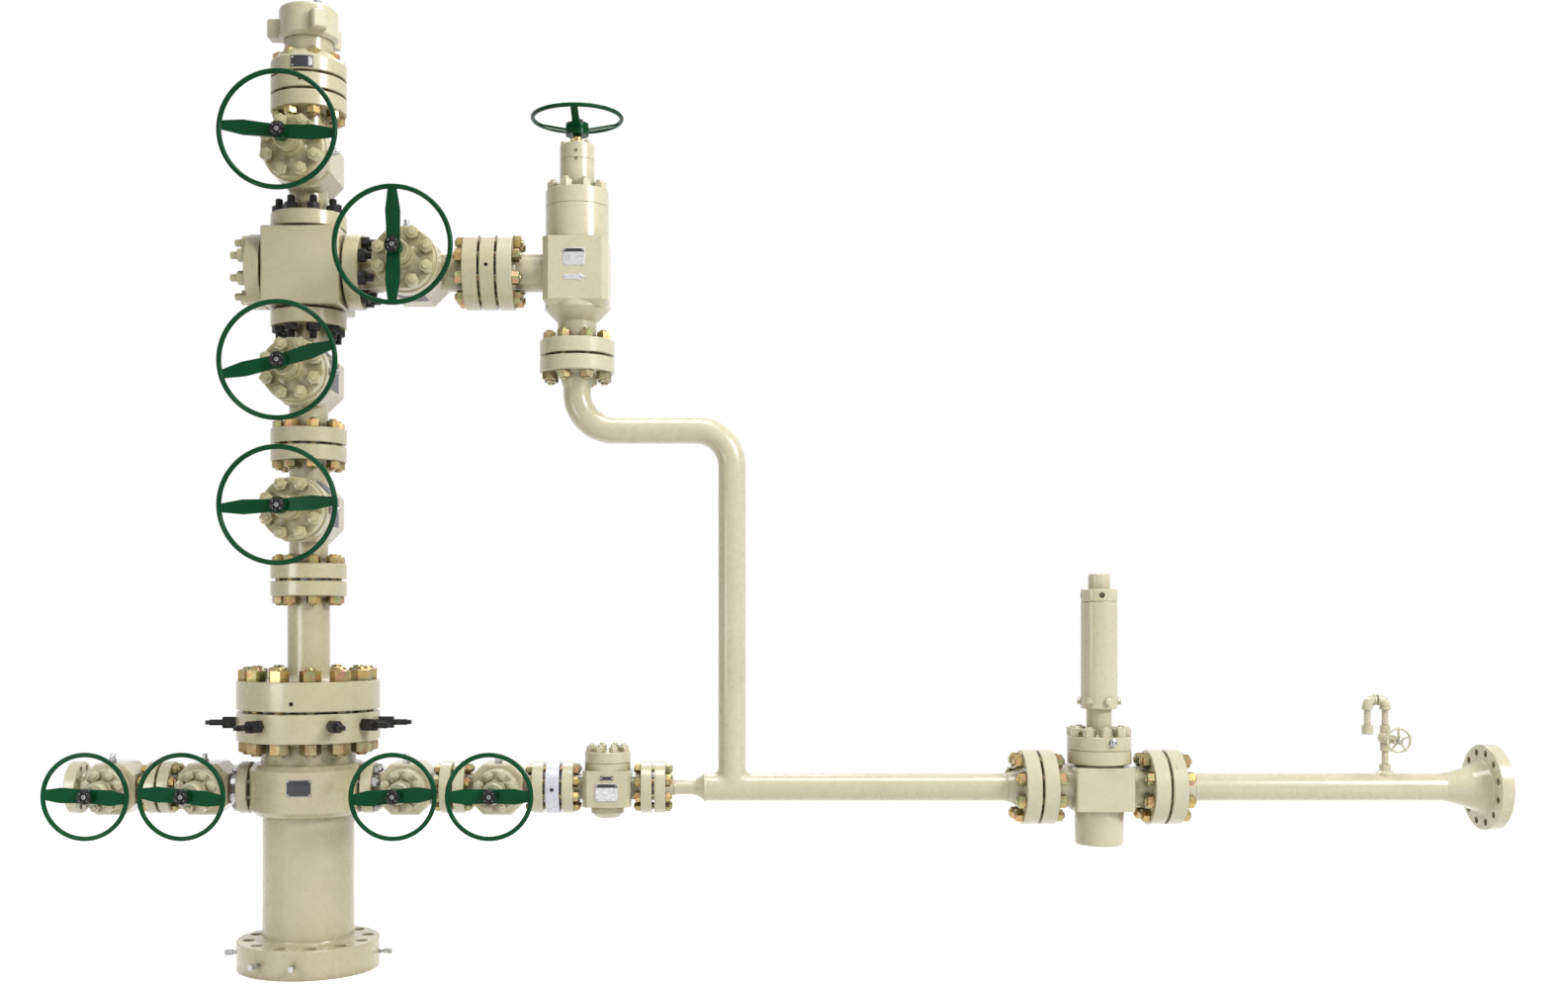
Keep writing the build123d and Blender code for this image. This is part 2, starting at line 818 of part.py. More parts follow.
def outlet_pipe():
    """The outlet: tree flange and line pipe with the bleed boss, up to the weld of its end."""
    p = line_pipe_od / 2
    b = line_pipe_bore / 2
    shell = turned(
        (0, 0), *rim(tree_flange_od / 2, 0, tree_flange_thick),
        (line_hub_od / 2, tree_flange_thick, 8), (p, tree_flange_thick + line_hub_long),
        (p, outlet_weld), (0, outlet_weld),
    )
    boss = Pos(x_bleed, 0, z_run) * turned(
        (0, 0), (bleed_boss_od / 2 + bleed_boss_flare, 0),
        (bleed_boss_od / 2 + bleed_boss_flare, p), (bleed_boss_od / 2, p + bleed_boss_flare),
        (bleed_boss_od / 2, bleed_boss_top), (0, bleed_boss_top),
    )
    lie = Pos(x_outlet, 0, z_run) * TO_RIGHT
    return lie * shell + boss - lie * rod(2 * b, 0, outlet_weld)


def outlet_flange():
    """The reducer and the open flange at the outlet's end."""
    hub = outlet_long - end_flange_thick
    neck = hub - end_hub_long
    shell = turned(
        (line_pipe_bore / 2, outlet_weld), (line_pipe_od / 2, outlet_weld), (end_pipe_od / 2, neck),
        (end_hub_od / 2, hub, 8), *rim(end_flange_od / 2, hub, outlet_long),
        (end_bore / 2, outlet_long), (end_bore / 2, neck),
    )
    shell -= bolt_holes(end_bolt_circle, end_bolt_hole, end_bolt_count, hub, outlet_long)
    return Pos(x_outlet, 0, z_run) * TO_RIGHT * shell


def check_body():
    """The swing check valve's body along X, with its round cover seat and foot."""
    run = TO_RIGHT * flanged_run(SIDE, check_length, check_neck_od, side_flange_thick / 4)
    block = Box(check_wide, check_deep, check_tall)
    block = chamfer(block.edges().filter_by(Axis.Z), check_cut)
    seat = rod(check_ring_od, 0, check_ring_top)
    foot = rod(check_foot_od, -check_foot_drop, 0)
    foot = chamfer(foot.edges().group_by(Axis.Z)[0], check_cut)
    return Pos(x_check + check_length / 2, 0, z_run) * (run + block + seat + foot)


def check_cap():
    """The bolted cover of the check valve."""
    disc = turned(
        (0, 0), *rim(check_ring_od / 2, 0, check_cap_thick), (0, check_cap_thick),
    )
    return Pos(x_check + check_length / 2, 0, z_run + check_ring_top) * disc


def safety_body():
    """The safety valve's body along X: block, blind foot and bonnet seat."""
    run = TO_RIGHT * flanged_run(TREE, safety_length, safety_neck_od, tree_flange_thick / 4)
    block = Box(safety_wide, safety_deep, safety_tall)
    block = fillet(block.edges().filter_by(Axis.Z), safety_round)
    top = safety_ring_top - safety_bonnet_thick / 2
    seat = rod(safety_foot_od, 0, safety_ring_top)
    seat += turned(
        (0, top - safety_bonnet_thick / 2),
        *rim(safety_ring_od / 2, top - safety_bonnet_thick / 2, safety_ring_top),
        (0, safety_ring_top),
    )
    foot = rod(safety_foot_od, -safety_foot_drop, 0)
    foot = fillet(foot.edges().group_by(Axis.Z)[0], safety_round)
    return Pos(x_safety + safety_length / 2, 0, z_run) * (run + block + seat + foot)


def safety_bonnet():
    """The safety valve's bonnet and the stalk that carries the actuator."""
    top = safety_bonnet_thick + safety_neck_long
    return Pos(x_safety + safety_length / 2, 0, z_run + safety_ring_top) * turned(
        (0, 0), *rim(safety_ring_od / 2, 0, safety_bonnet_thick),
        (safety_stalk_od / 2, safety_bonnet_thick, 10), (safety_stalk_od / 2, top), (0, top),
    )


def safety_actuator():
    """The actuator: long cylinder with a seamed head, two ports and a top cap."""
    r = safety_cylinder_od / 2
    seam = safety_cylinder_long
    top = seam + safety_head_long
    barrel = turned(
        (0, 0), (r - edge_break, 0), (r, edge_break), (r, seam - safety_seam),
        (r - safety_seam, seam), (r, seam + safety_seam), (r, top - edge_break),
        (r - edge_break, top), (safety_cap_od / 2, top),
        (safety_cap_od / 2, top + safety_cap_long, 6), (0, top + safety_cap_long),
    )
    port = TO_FRONT * rod(safety_port, r - safety_port, r)
    middle = seam + safety_head_long / 2
    for turn in safety_port_turns:
        barrel -= Pos(0, 0, middle) * Rot(0, 0, turn) * port
    low = z_run + safety_ring_top + safety_bonnet_thick + safety_neck_long
    return Pos(x_safety + safety_length / 2, 0, low) * barrel


z_bleed_valve = z_run + bleed_boss_top + bleed_nipple
z_bleed_axis = z_bleed_valve + bleed_body_tall / 2
z_bleed_top = z_bleed_valve + bleed_body_tall
z_bleed_level = z_bleed_top + bleed_riser + bleed_elbow_radius


def bleed_lower():
    """The nipple between the boss and the bleed valve."""
    return Pos(x_bleed, 0, z_bleed_valve - bleed_nipple) * rod(bleed_pipe_od, 0, bleed_nipple)


def bleed_elbow():
    """An elbow that turns from below to the left, with a collar at each end."""
    r = bleed_elbow_radius
    path = FilletPolyline((0, 0, -r - bleed_collar), (0, 0, 0), (-r - bleed_collar / 2, 0, 0), radius=r)
    bend = sweep(Plane(path @ 0, z_dir=path % 0) * Circle(bleed_elbow_od / 2), path)
    bend += rod(bleed_collar_od, -r - bleed_collar, -r)
    return bend + TO_LEFT * rod(bleed_collar_od, r, r + bleed_collar / 2)


def bleed_upper():
    """The gooseneck above the bleed valve: two elbows, and an open mouth facing down."""
    low = z_bleed_level - bleed_elbow_radius - bleed_tail
    bottom = low - bleed_mouth_long / 2
    top = low + bleed_mouth_long / 2
    neck = rod(bleed_pipe_od, z_bleed_top, z_bleed_level - bleed_elbow_radius)
    neck += Pos(0, 0, z_bleed_level) * bleed_elbow()
    across = rod(bleed_pipe_od, bleed_elbow_radius, bleed_span - bleed_elbow_radius)
    neck += Pos(0, 0, z_bleed_level) * TO_LEFT * across
    far = Pos(-bleed_span, 0, z_bleed_level) * Rot(0, 0, 180) * bleed_elbow()
    far += Pos(-bleed_span, 0, 0) * rod(bleed_pipe_od, top, z_bleed_level - bleed_elbow_radius)
    mouth = rod(bleed_mouth_od, bottom, top) - rod(bleed_mouth_bore, bottom, low + bleed_mouth_long / 4)
    return Pos(x_bleed, 0, 0) * (neck + far + Pos(-bleed_span, 0, 0) * mouth)


def bleed_valve():
    """The small globe valve of the bleed line, bonnet towards -Y."""
    body = rod(bleed_pipe_od + 4, 0, bleed_body_tall)
    for low in (0, bleed_body_tall - bleed_end_tall):
        end = extrude(RegularPolygon(bleed_end_od / 2, 8), bleed_end_tall)
        body += Pos(0, 0, low) * end
    middle = Pos(0, 0, bleed_body_tall / 2)
    body += middle * Sphere(bleed_ball_od / 2)
    hole = bleed_stem_od / 2
    bonnet = turned(
        (0, 0), (bleed_bonnet_od / 2, 0), (bleed_bonnet_od / 2, bleed_bonnet_out),
        (hole, bleed_bonnet_out), (hole, bleed_bonnet_out / 2), (0, bleed_bonnet_out / 2),
    )
    body += middle * TO_FRONT * bonnet
    stem_room = rod(bleed_stem_od, bleed_bonnet_out / 2, bleed_bonnet_out)
    body -= middle * TO_FRONT * stem_room
    return Pos(x_bleed, 0, z_bleed_valve) * body


def bleed_handwheel():
    """The bleed valve's cast wheel: five spokes and a nub on the rim at each."""
    radius = (bleed_wheel_od - bleed_wheel_rim) / 2
    wheel = Torus(radius, bleed_wheel_rim / 2)
    wheel += rod(bleed_hub_od, -bleed_wheel_rim, bleed_wheel_rim)
    stem = bleed_bonnet_out / 2 + stem_end_gap - bleed_wheel_out
    wheel += rod(bleed_stem_od - 2 * stem_play, stem, 0)
    spoke = Pos(radius / 2, 0, 0) * Box(radius, bleed_wheel_rim * 0.8, bleed_wheel_rim * 0.7)
    nub = Pos(radius + bleed_wheel_rim / 4, 0, 0) * Sphere(bleed_wheel_rim * 0.62)
    for one in ring_of(spoke, bleed_spokes, 90) + ring_of(nub, bleed_spokes, 90):
        wheel += one
    return Pos(x_bleed, -bleed_wheel_out, z_bleed_axis) * TO_FRONT * wheel


def stack_place(foot):
    """Where a valve standing in the stack has its middle."""
    return Pos(0, 0, foot + big_length / 2)


def run_place(start):
    """Where a small valve lying in the lower run has its middle."""
    return Pos(start + small_length / 2, 0, z_run)


VALVES = {
    "lower_master": (BIG, stack_place(z_lower_master), Rot(), turn_lower_master),
    "upper_master": (BIG, stack_place(z_upper_master), Rot(), turn_upper_master),
    "swab": (BIG, stack_place(z_swab), Rot(), turn_swab),
    "wing": (BIG, Pos(x_wing + big_length / 2, 0, z_wing), TO_RIGHT, turn_wing),
    "outer_left": (SMALL, run_place(-x_side_end), TO_RIGHT, turn_outer_left),
    "inner_left": (SMALL, run_place(-x_side - small_length), TO_RIGHT, turn_inner_left),
    "inner_right": (SMALL, run_place(x_side), TO_RIGHT, turn_inner_right),
    "outer_right": (SMALL, run_place(x_side_outer), TO_RIGHT, turn_outer_right),
}


def open_outlet():
    """The bore and bolt holes in the open flange of the outer left valve."""
    deep = small_length / 2 - small_block_cut
    cuts = bolt_holes(side_bolt_circle, side_bolt_hole, side_bolt_count, 0, side_flange_thick)
    cuts.append(rod(side_bore, 0, deep))
    return [Pos(-x_side_end, 0, z_run) * TO_RIGHT * cut for cut in cuts]


def ring_gaskets():
    """The gasket rings that close the gaps between all the flanges."""
    up = [(HEAD, head_height)]
    up += [(TREE, z - flange_gap) for z in (z_lower_master, z_upper_master, z_cross)]
    up += [(TREE, z - flange_gap) for z in (z_swab, z_cap_ring, z_cap)]
    rings = [Pos(0, 0, z) * gasket(size) for size, z in up]
    across = [(TREE, x - flange_gap, z_wing) for x in (x_wing, x_wing_ring, x_choke_face)]
    across.append((TREE, -cross_size / 2 - flange_gap, z_wing))
    across += [(TREE, x - flange_gap, z_run) for x in (x_safety, x_outlet)]
    starts = (-x_side, -x_side_outer, x_side - flange_gap, x_side_outer - flange_gap)
    across += [(SIDE, x, z_run) for x in starts]
    starts = (x_side_ring, x_check, x_header)
    across += [(SIDE, x - flange_gap, z_run) for x in starts]
    rings += [Pos(x, 0, z) * TO_RIGHT * gasket(size) for size, x, z in across]
    rings.append(Pos(x_choke, 0, z_riser_face) * gasket(TREE))
    return rings


def assemble():
    """Every piece in its place, by name."""
    pieces = {
        "tubing_head": tubing_head(),
        "lockdown_screws": lockdown_screws(),
        "base_fittings": base_fittings(),
        "tubing_head_adapter": adapter(),
        "flow_cross": flow_cross(),
        "cross_blind_flange": blind_flange(),
        "tree_test_rings": tree_test_rings(),
        "side_test_ring": side_ring(),
        "tree_cap": tree_cap(),
        "tree_cap_nut": cap_nut(),
        "choke_body": choke_body(),
        "choke_bonnet": choke_bonnet(),
        "choke_handwheel": choke_handwheel(),
        "riser_pipe": riser_pipe(),
        "header_pipe": header_pipe(),
        "outlet_pipe": outlet_pipe(),
        "outlet_flange": outlet_flange(),
        "check_valve_body": check_body(),
        "check_valve_cap": check_cap(),
        "safety_valve_body": safety_body(),
        "safety_valve_bonnet": safety_bonnet(),
        "safety_valve_actuator": safety_actuator(),
        "bleed_line": [bleed_lower(), bleed_upper()],
        "bleed_valve": bleed_valve(),
        "bleed_handwheel": bleed_handwheel(),
        "ring_gaskets": ring_gaskets(),
    }
    for name, (size, place, lie, turn) in VALVES.items():
        pieces[name + "_body"] = place * lie * valve_body(size)
        pieces[name + "_bonnet"] = place * valve_bonnet(size)
        pieces[name + "_handwheel"] = place * handwheel(size, turn)
    for cut in open_outlet():
        pieces["outer_left_body"] -= cut
    return pieces


def write(pieces):
    """One STEP file for each piece; like pieces of one name share a file."""
    for name, piece in pieces.items():
        shapes = piece if isinstance(piece, list) else [piece]
        solids = [solid for shape in shapes for solid in shape.solids()]
        whole = solids[0] if len(solids) == 1 else Compound(solids)
        export_step(whole, f"parts/{name}.step")


if __name__ == "__main__":
    write(assemble())
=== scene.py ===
"""Gas wellhead valve stack: finishes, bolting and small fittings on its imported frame."""

import logging
import math
import random
from collections.abc import Callable, Sequence
from dataclasses import dataclass
from enum import Enum
from typing import ClassVar

import bmesh
import bpy
from mathutils import Matrix, Vector


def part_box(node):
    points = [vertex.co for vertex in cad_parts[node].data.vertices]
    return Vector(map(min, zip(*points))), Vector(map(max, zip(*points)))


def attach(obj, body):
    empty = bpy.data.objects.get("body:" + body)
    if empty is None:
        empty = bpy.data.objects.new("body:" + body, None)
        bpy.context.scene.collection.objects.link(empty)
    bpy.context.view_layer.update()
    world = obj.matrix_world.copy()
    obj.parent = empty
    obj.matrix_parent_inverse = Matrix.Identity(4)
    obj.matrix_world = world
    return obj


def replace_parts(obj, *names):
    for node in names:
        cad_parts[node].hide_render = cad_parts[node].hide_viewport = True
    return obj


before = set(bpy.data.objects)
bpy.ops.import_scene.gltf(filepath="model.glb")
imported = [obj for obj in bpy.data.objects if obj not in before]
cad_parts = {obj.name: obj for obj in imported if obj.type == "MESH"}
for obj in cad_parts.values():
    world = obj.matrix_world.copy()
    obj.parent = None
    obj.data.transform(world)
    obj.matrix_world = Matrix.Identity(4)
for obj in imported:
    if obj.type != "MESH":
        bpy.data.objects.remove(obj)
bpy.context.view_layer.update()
LOG = logging.getLogger("valve_stack")
STACK = "stack"
BIG_VALVES = ("lower_master", "upper_master", "swab", "wing")
SMALL_VALVES = ("outer_left", "inner_left", "inner_right", "outer_right")
# The lower run's height is read from this node.
RUN = "side_test_ring"
# Degrees between two corners of a nut.
HEX_TURN = 60.0

Pair = tuple[float, float]
Point = tuple[float, float, float]
Colour = tuple[float, float, float, float]
Outline = tuple[Pair, ...]
Mesh = bpy.types.Mesh
Socket = bpy.types.NodeSocket


class Way(Enum):
    """Where the +Z side of a turned piece points once it is in place."""

    UP = (0.0, "X")
    DOWN = (180.0, "X")
    RIGHT = (90.0, "Y")
    LEFT = (-90.0, "Y")
    FRONT = (90.0, "X")
    BACK = (-90.0, "X")

    @property
    def turn(self) -> Matrix:
        """The rotation that points +Z this way."""
        return Matrix.Rotation(math.radians(self.value[0]), 4, self.value[1])

    @property
    def other(self) -> "Way":
        """The opposite way.

        Returns:
            The way that looks back along the same axis.
        """
        pairs = {Way.UP: Way.DOWN, Way.RIGHT: Way.LEFT, Way.FRONT: Way.BACK}
        pairs.update({b: a for a, b in pairs.items()})
        return pairs[self]


@dataclass(frozen=True)
class Grain:
    """One noise over a piece, and the part of its range that counts."""

    scale: float
    detail: float
    low: float = 0.0
    high: float = 1.0
    stretch: Point = (1, 1, 1)


@dataclass(frozen=True)
class Relief:
    """One layer of bumps: its noise, its strength and its depth in metres."""

    grain: Grain
    strength: float
    depth: float


class Tree:
    """A node tree while it is put together."""

    def __init__(self, tree: bpy.types.NodeTree) -> None:
        """Takes up a tree."""
        self.nodes, self.links = tree.nodes, tree.links

    def put(self, socket: Socket, value: object) -> None:
        """Feeds a socket from another socket or sets it.

        Args:
            socket: Input to fill.
            value: Output to link, or a constant.
        """
        if isinstance(value, Socket):
            self.links.new(value, socket)
        else:
            socket.default_value = value

    def fill(self, node: bpy.types.Node, values: dict[str, object]) -> bpy.types.Node:
        """Fills sockets of a node.

        Args:
            node: The node.
            values: What goes in by socket; an underscore stands for a space.

        Returns:
            The node.
        """
        for name, value in values.items():
            self.put(node.inputs[name.replace("_", " ")], value)
        return node

    def node(self, kind: str, **values: object) -> bpy.types.Node:
        """Adds a node of a kind and fills its sockets."""
        return self.fill(self.nodes.new(f"ShaderNode{kind}"), values)

    def reckon(self, operation: str, first: Socket, second: Socket | float) -> Socket:
        """Reckons with two values.

        Args:
            operation: What is done.
            first: One value.
            second: The other, or a constant.

        Returns:
            The result.
        """
        node = self.node("Math")
        node.operation = operation
        self.put(node.inputs[0], first)
        self.put(node.inputs[1], second)
        return node.outputs["Value"]

    def spread(self, value: Socket, start: Pair, end: Pair) -> Socket:
        """Maps a value from one range to another.

        Args:
            value: Value to map.
            start: Range that it has.
            end: Range that it gets.

        Returns:
            The mapped value.
        """
        names = ("From_Min", "From_Max", "To_Min", "To_Max")
        return self.node("MapRange", Value=value, **dict(zip(names, (*start, *end)))).outputs["Result"]

    def background_seen(self, dim: float, full: float) -> Socket:
        """A level that differs where the background is seen, in mirrors and glass too.

        Args:
            dim: Level for all other rays.
            full: Level where it is seen.

        Returns:
            The level.
        """
        rays = self.node("LightPath").outputs
        seen = self.reckon("MAXIMUM", rays["Is Camera Ray"], rays["Is Glossy Ray"])
        seen = self.reckon("MAXIMUM", seen, rays["Is Transmission Ray"])
        return self.spread(seen, (0.0, 1.0), (dim, full))


class Shader(Tree):
    """The node tree of one finish."""

    EDGE = 0.0022
    EDGE_RAYS = 4
    SHADE_RAYS = 6
    SHADE_RANGE = (0.42, 0.95)
    # Sockets of the mix node when it mixes colours.
    MIX_INPUTS = (0, 6, 7)
    MIX_RESULT = 2

    def __init__(self, name: str) -> None:
        """Starts an empty finish.

        Args:
            name: Name of the material.
        """
        self.material = bpy.data.materials.new(name)
        self.material.use_nodes = True
        super().__init__(self.material.node_tree)
        self.surface = self.nodes["Principled BSDF"]
        self.place = self.node("TexCoord").outputs["Object"]

    def noise(self, grain: Grain) -> Socket:
        """A noise over the piece."""
        place = self.node("Mapping", Vector=self.place, Scale=grain.stretch).outputs["Vector"]
        return self.node("TexNoise", Vector=place, Scale=grain.scale, Detail=grain.detail).outputs["Fac"]

    def level(self, grain: Grain, low: float = 0.0, high: float = 1.0) -> Socket:
        """A noise, spread over a range."""
        return self.spread(self.noise(grain), (grain.low, grain.high), (low, high))

    def times(self, first: Socket, second: Socket | float) -> Socket:
        """The product of two values."""
        return self.reckon("MULTIPLY", first, second)

    def blend(self, factor: Socket, first: object, second: object) -> Socket:
        """Mixes two colours.

        Args:
            factor: Share of the second colour.
            first: Colour or socket.
            second: Colour or socket.

        Returns:
            The mixed colour.
        """
        node = self.node("Mix")
        node.data_type = "RGBA"
        for index, value in zip(self.MIX_INPUTS, (factor, first, second)):
            self.put(node.inputs[index], value)
        return node.outputs[self.MIX_RESULT]

    def corners(self, reach: float) -> Socket:
        """How deep a point lies in a corner, 0 in the open and 1 in a seam; it masks painted shade.

        Args:
            reach: Distance in metres that is looked at.

        Returns:
            The share of hidden surroundings.
        """
        node = self.node("AmbientOcclusion", Distance=reach)
        node.samples = self.SHADE_RAYS
        return self.spread(node.outputs["AO"], self.SHADE_RANGE, (1.0, 0.0))

    def bump(self, *layers: Relief) -> None:
        """Softens the edges and stacks bumps on the surface.

        Args:
            layers: The layers of bumps.
        """
        edge = self.node("Bevel", Radius=self.EDGE)
        edge.samples = self.EDGE_RAYS
        normal = edge.outputs["Normal"]
        for layer in layers:
            height = self.noise(layer.grain)
            shares = {"Strength": layer.strength, "Distance": layer.depth}
            normal = self.node("Bump", Height=height, Normal=normal, **shares).outputs["Normal"]
        self.put(self.surface.inputs["Normal"], normal)

    def surfaced(self, **values: object) -> bpy.types.Material:
        """Fills the surface's sockets, named with underscores, and hands the finish over."""
        self.fill(self.surface, values)
        return self.material


@dataclass(frozen=True)
class Enamel:
    """Sprayed enamel over forged steel, with painted shade in its corners, broken up by a noise, and a few
    scuffs.
    """

    name: str
    fresh: Colour
    aged: Colour
    scuff_and_shade: Colour
    gloss: Pair
    shade_reach: float = 0.045
    shade_depth: float = 0.80
    coat: float = 0.45
    shine: float = 0.5
    scuffed: float = 0.30

    PATCHES: ClassVar[Grain] = Grain(3.0, 4, 0.38, 0.64)
    RUNS: ClassVar[Grain] = Grain(9.0, 4, 0.55, 0.80, (1, 1, 0.14))
    RUN_SHARE: ClassVar[float] = 0.35
    SCUFFS: ClassVar[Grain] = Grain(42, 3, 0.70, 0.76, (1, 1, 0.35))
    SHADE_BREAKUP: ClassVar[Grain] = Grain(26, 4, 0.30, 0.70)
    SHADE_BREAKUP_LEAST: ClassVar[float] = 0.30
    SHEEN: ClassVar[Grain] = Grain(30, 4, 0.32, 0.70)
    SPRAY: ClassVar[Relief] = Relief(Grain(420, 2), 0.05, 0.0008)
    FORGING: ClassVar[Relief] = Relief(Grain(40, 3), 0.05, 0.002)
    COAT_ROUGH: ClassVar[float] = 0.12

    def make(self) -> bpy.types.Material:
        """Builds the finish.

        Returns:
            The material.
        """
        s = Shader(self.name)
        colour = s.blend(s.level(self.PATCHES), self.fresh, self.aged)
        colour = s.blend(s.level(self.RUNS, high=self.RUN_SHARE), colour, self.aged)
        colour = s.blend(s.level(self.SCUFFS, high=self.scuffed), colour, self.scuff_and_shade)
        # Painted shade: darkening in corners and between parts, from ambient occlusion, made patchy by a
        # noise.
        seam = s.times(s.corners(self.shade_reach), self.shade_depth)
        seam = s.times(seam, s.level(self.SHADE_BREAKUP, self.SHADE_BREAKUP_LEAST))
        colour = s.blend(seam, colour, self.scuff_and_shade)
        s.bump(self.SPRAY, self.FORGING)
        return s.surfaced(
            Base_Color=colour, Roughness=s.level(self.SHEEN, *self.gloss), Specular_IOR_Level=self.shine,
            Coat_Weight=self.coat, Coat_Roughness=self.COAT_ROUGH,
        )


@dataclass(frozen=True)
class Plating:
    """Plated or oxidised steel whose tint drifts from piece to piece."""

    name: str
    first: Colour
    second: Colour
    third: Colour
    rough: Pair
    metal: float = 1.0
    shine: float = 0.5

    TINT: ClassVar[Grain] = Grain(13.0, 1, 0.40, 0.60)
    STAIN: ClassVar[Grain] = Grain(41.6, 2, 0.50, 0.66)
    STAIN_SHARE: ClassVar[float] = 0.85
    CORNER_SHADE: ClassVar[Colour] = (0.03, 0.025, 0.018, 1)
    CORNER_SHADE_REACH: ClassVar[float] = 0.02
    CORNER_SHADE_DEPTH: ClassVar[float] = 0.6
    SHEEN: ClassVar[Grain] = Grain(90, 3, 0.30, 0.72)
    CRYSTALS: ClassVar[Relief] = Relief(Grain(600, 2), 0.06, 0.0006)
    MACHINING: ClassVar[Relief] = Relief(Grain(130, 2), 0.08, 0.001)

    def make(self) -> bpy.types.Material:
        """Builds the finish.

        Returns:
            The material.
        """
        s = Shader(self.name)
        colour = s.blend(s.level(self.TINT), self.first, self.second)
        colour = s.blend(s.level(self.STAIN, high=self.STAIN_SHARE), colour, self.third)
        # Painted shade: darkening in corners and between parts, from ambient occlusion.
        colour = s.blend(s.times(s.corners(self.CORNER_SHADE_REACH), self.CORNER_SHADE_DEPTH), colour, self.CORNER_SHADE)
        s.bump(self.CRYSTALS, self.MACHINING)
        return s.surfaced(
            Base_Color=colour, Roughness=s.level(self.SHEEN, *self.rough), Metallic=self.metal,
            Specular_IOR_Level=self.shine,
        )


@dataclass(frozen=True)
class Brushed:
    """Thin sheet metal, rubbed along one direction and stained by weather."""

    name: str
    pale: Colour
    dull: Colour
    rough: Pair
    metal: float = 0.85

    RUB: ClassVar[Point] = (1, 1, 16)
    STREAKS: ClassVar[Grain] = Grain(60, 4, 0.35, 0.68, RUB)
    STAIN: ClassVar[Grain] = Grain(70, 3, 0.52, 0.72)
    STAIN_SHARE: ClassVar[float] = 0.8
    SHEEN: ClassVar[Grain] = Grain(60, 4, 0.3, 0.7, RUB)
    SCRATCHES: ClassVar[Relief] = Relief(STREAKS, 0.10, 0.0004)
    DENTS: ClassVar[Relief] = Relief(Grain(90, 2), 0.25, 0.0012)

    def make(self) -> bpy.types.Material:
        """Builds the finish.

        Returns:
            The material.
        """
        s = Shader(self.name)
        colour = s.blend(s.level(self.STREAKS), self.pale, self.dull)
        colour = s.blend(s.level(self.STAIN, high=self.STAIN_SHARE), colour, self.dull)
        s.bump(self.SCRATCHES, self.DENTS)
        return s.surfaced(
            Base_Color=colour, Roughness=s.level(self.SHEEN, *self.rough), Metallic=self.metal
        )


class Finish(Enum):
    """The finishes of the stack."""

    IVORY = Enamel(
        "ivory_enamel", (0.632, 0.582, 0.400, 1), (0.604, 0.550, 0.362, 1), (0.200, 0.148, 0.052, 1),
        (0.22, 0.36),
    )
    # A darker copy of the ivory enamel, given to the mast's forgings.
    DARK_IVORY = Enamel(
        "dark_ivory_enamel", (0.565, 0.506, 0.322, 1), (0.538, 0.476, 0.288, 1), (0.170, 0.126, 0.046, 1),
        (0.22, 0.36),
    )
    # Darker and more scuffed, with deeper painted shade in its corners.
    WORN_SHADED_IVORY = Enamel(
        "worn_shaded_ivory_enamel", (0.575, 0.515, 0.290, 1), (0.525, 0.460, 0.235, 1), (0.110, 0.082, 0.032, 1),
        (0.24, 0.42), shade_reach=0.040, shade_depth=1.0, scuffed=0.85,
    )
    GREEN = Enamel(
        "green_enamel", (0.0010, 0.0690, 0.0200, 1), (0.0008, 0.0510, 0.0145, 1), (0.002, 0.020, 0.008, 1),
        (0.14, 0.24), shade_reach=0.030, shade_depth=0.7, coat=0.0, shine=0.11,
    )
    GOLD = Plating(
        "yellow_zinc", (0.44, 0.32, 0.12, 1), (0.27, 0.28, 0.13, 1), (0.42, 0.20, 0.14, 1), (0.22, 0.36)
    )
    BROWN = Plating(
        "bronze_zinc", (0.30, 0.22, 0.11, 1), (0.36, 0.34, 0.19, 1), (0.27, 0.15, 0.09, 1), (0.28, 0.42)
    )
    ZINC = Plating(
        "grey_zinc", (0.40, 0.41, 0.42, 1), (0.52, 0.52, 0.50, 1), (0.27, 0.26, 0.23, 1), (0.30, 0.45)
    )
    BLACK = Plating(
        "black_oxide", (0.022, 0.023, 0.023, 1), (0.013, 0.014, 0.016, 1), (0.045, 0.040, 0.033, 1),
        (0.32, 0.50), metal=0.4, shine=0.3,
    )
    BRIGHT = Plating(
        "bright_zinc", (0.66, 0.66, 0.70, 1), (0.61, 0.61, 0.65, 1), (0.55, 0.55, 0.58, 1), (0.34, 0.46),
        metal=0.3,
    )
    BRASS = Plating(
        "brass", (0.60, 0.42, 0.13, 1), (0.66, 0.49, 0.19, 1), (0.38, 0.26, 0.10, 1), (0.22, 0.36)
    )
    PLATE = Brushed("tin_plate", (0.78, 0.78, 0.77, 1), (0.42, 0.42, 0.42, 1), (0.25, 0.42))
    PLATE_GREY = Brushed("plate_grey", (0.022, 0.022, 0.025, 1), (0.050, 0.050, 0.056, 1), (0.46, 0.60), 0.0)
    PLATE_INK = Brushed("plate_ink", (0.012, 0.013, 0.020, 1), (0.030, 0.030, 0.036, 1), (0.30, 0.48), 0.0)
    LEAD = Brushed("lead_grey", (0.20, 0.20, 0.20, 1), (0.13, 0.13, 0.135, 1), (0.50, 0.66), 0.0)
    STEEL = Brushed("bare_steel", (0.36, 0.36, 0.36, 1), (0.24, 0.24, 0.25, 1), (0.34, 0.52))

    @property
    def material(self) -> bpy.types.Material:
        """The finish's material, made once."""
        return bpy.data.materials.get(self.value.name) or self.value.make()


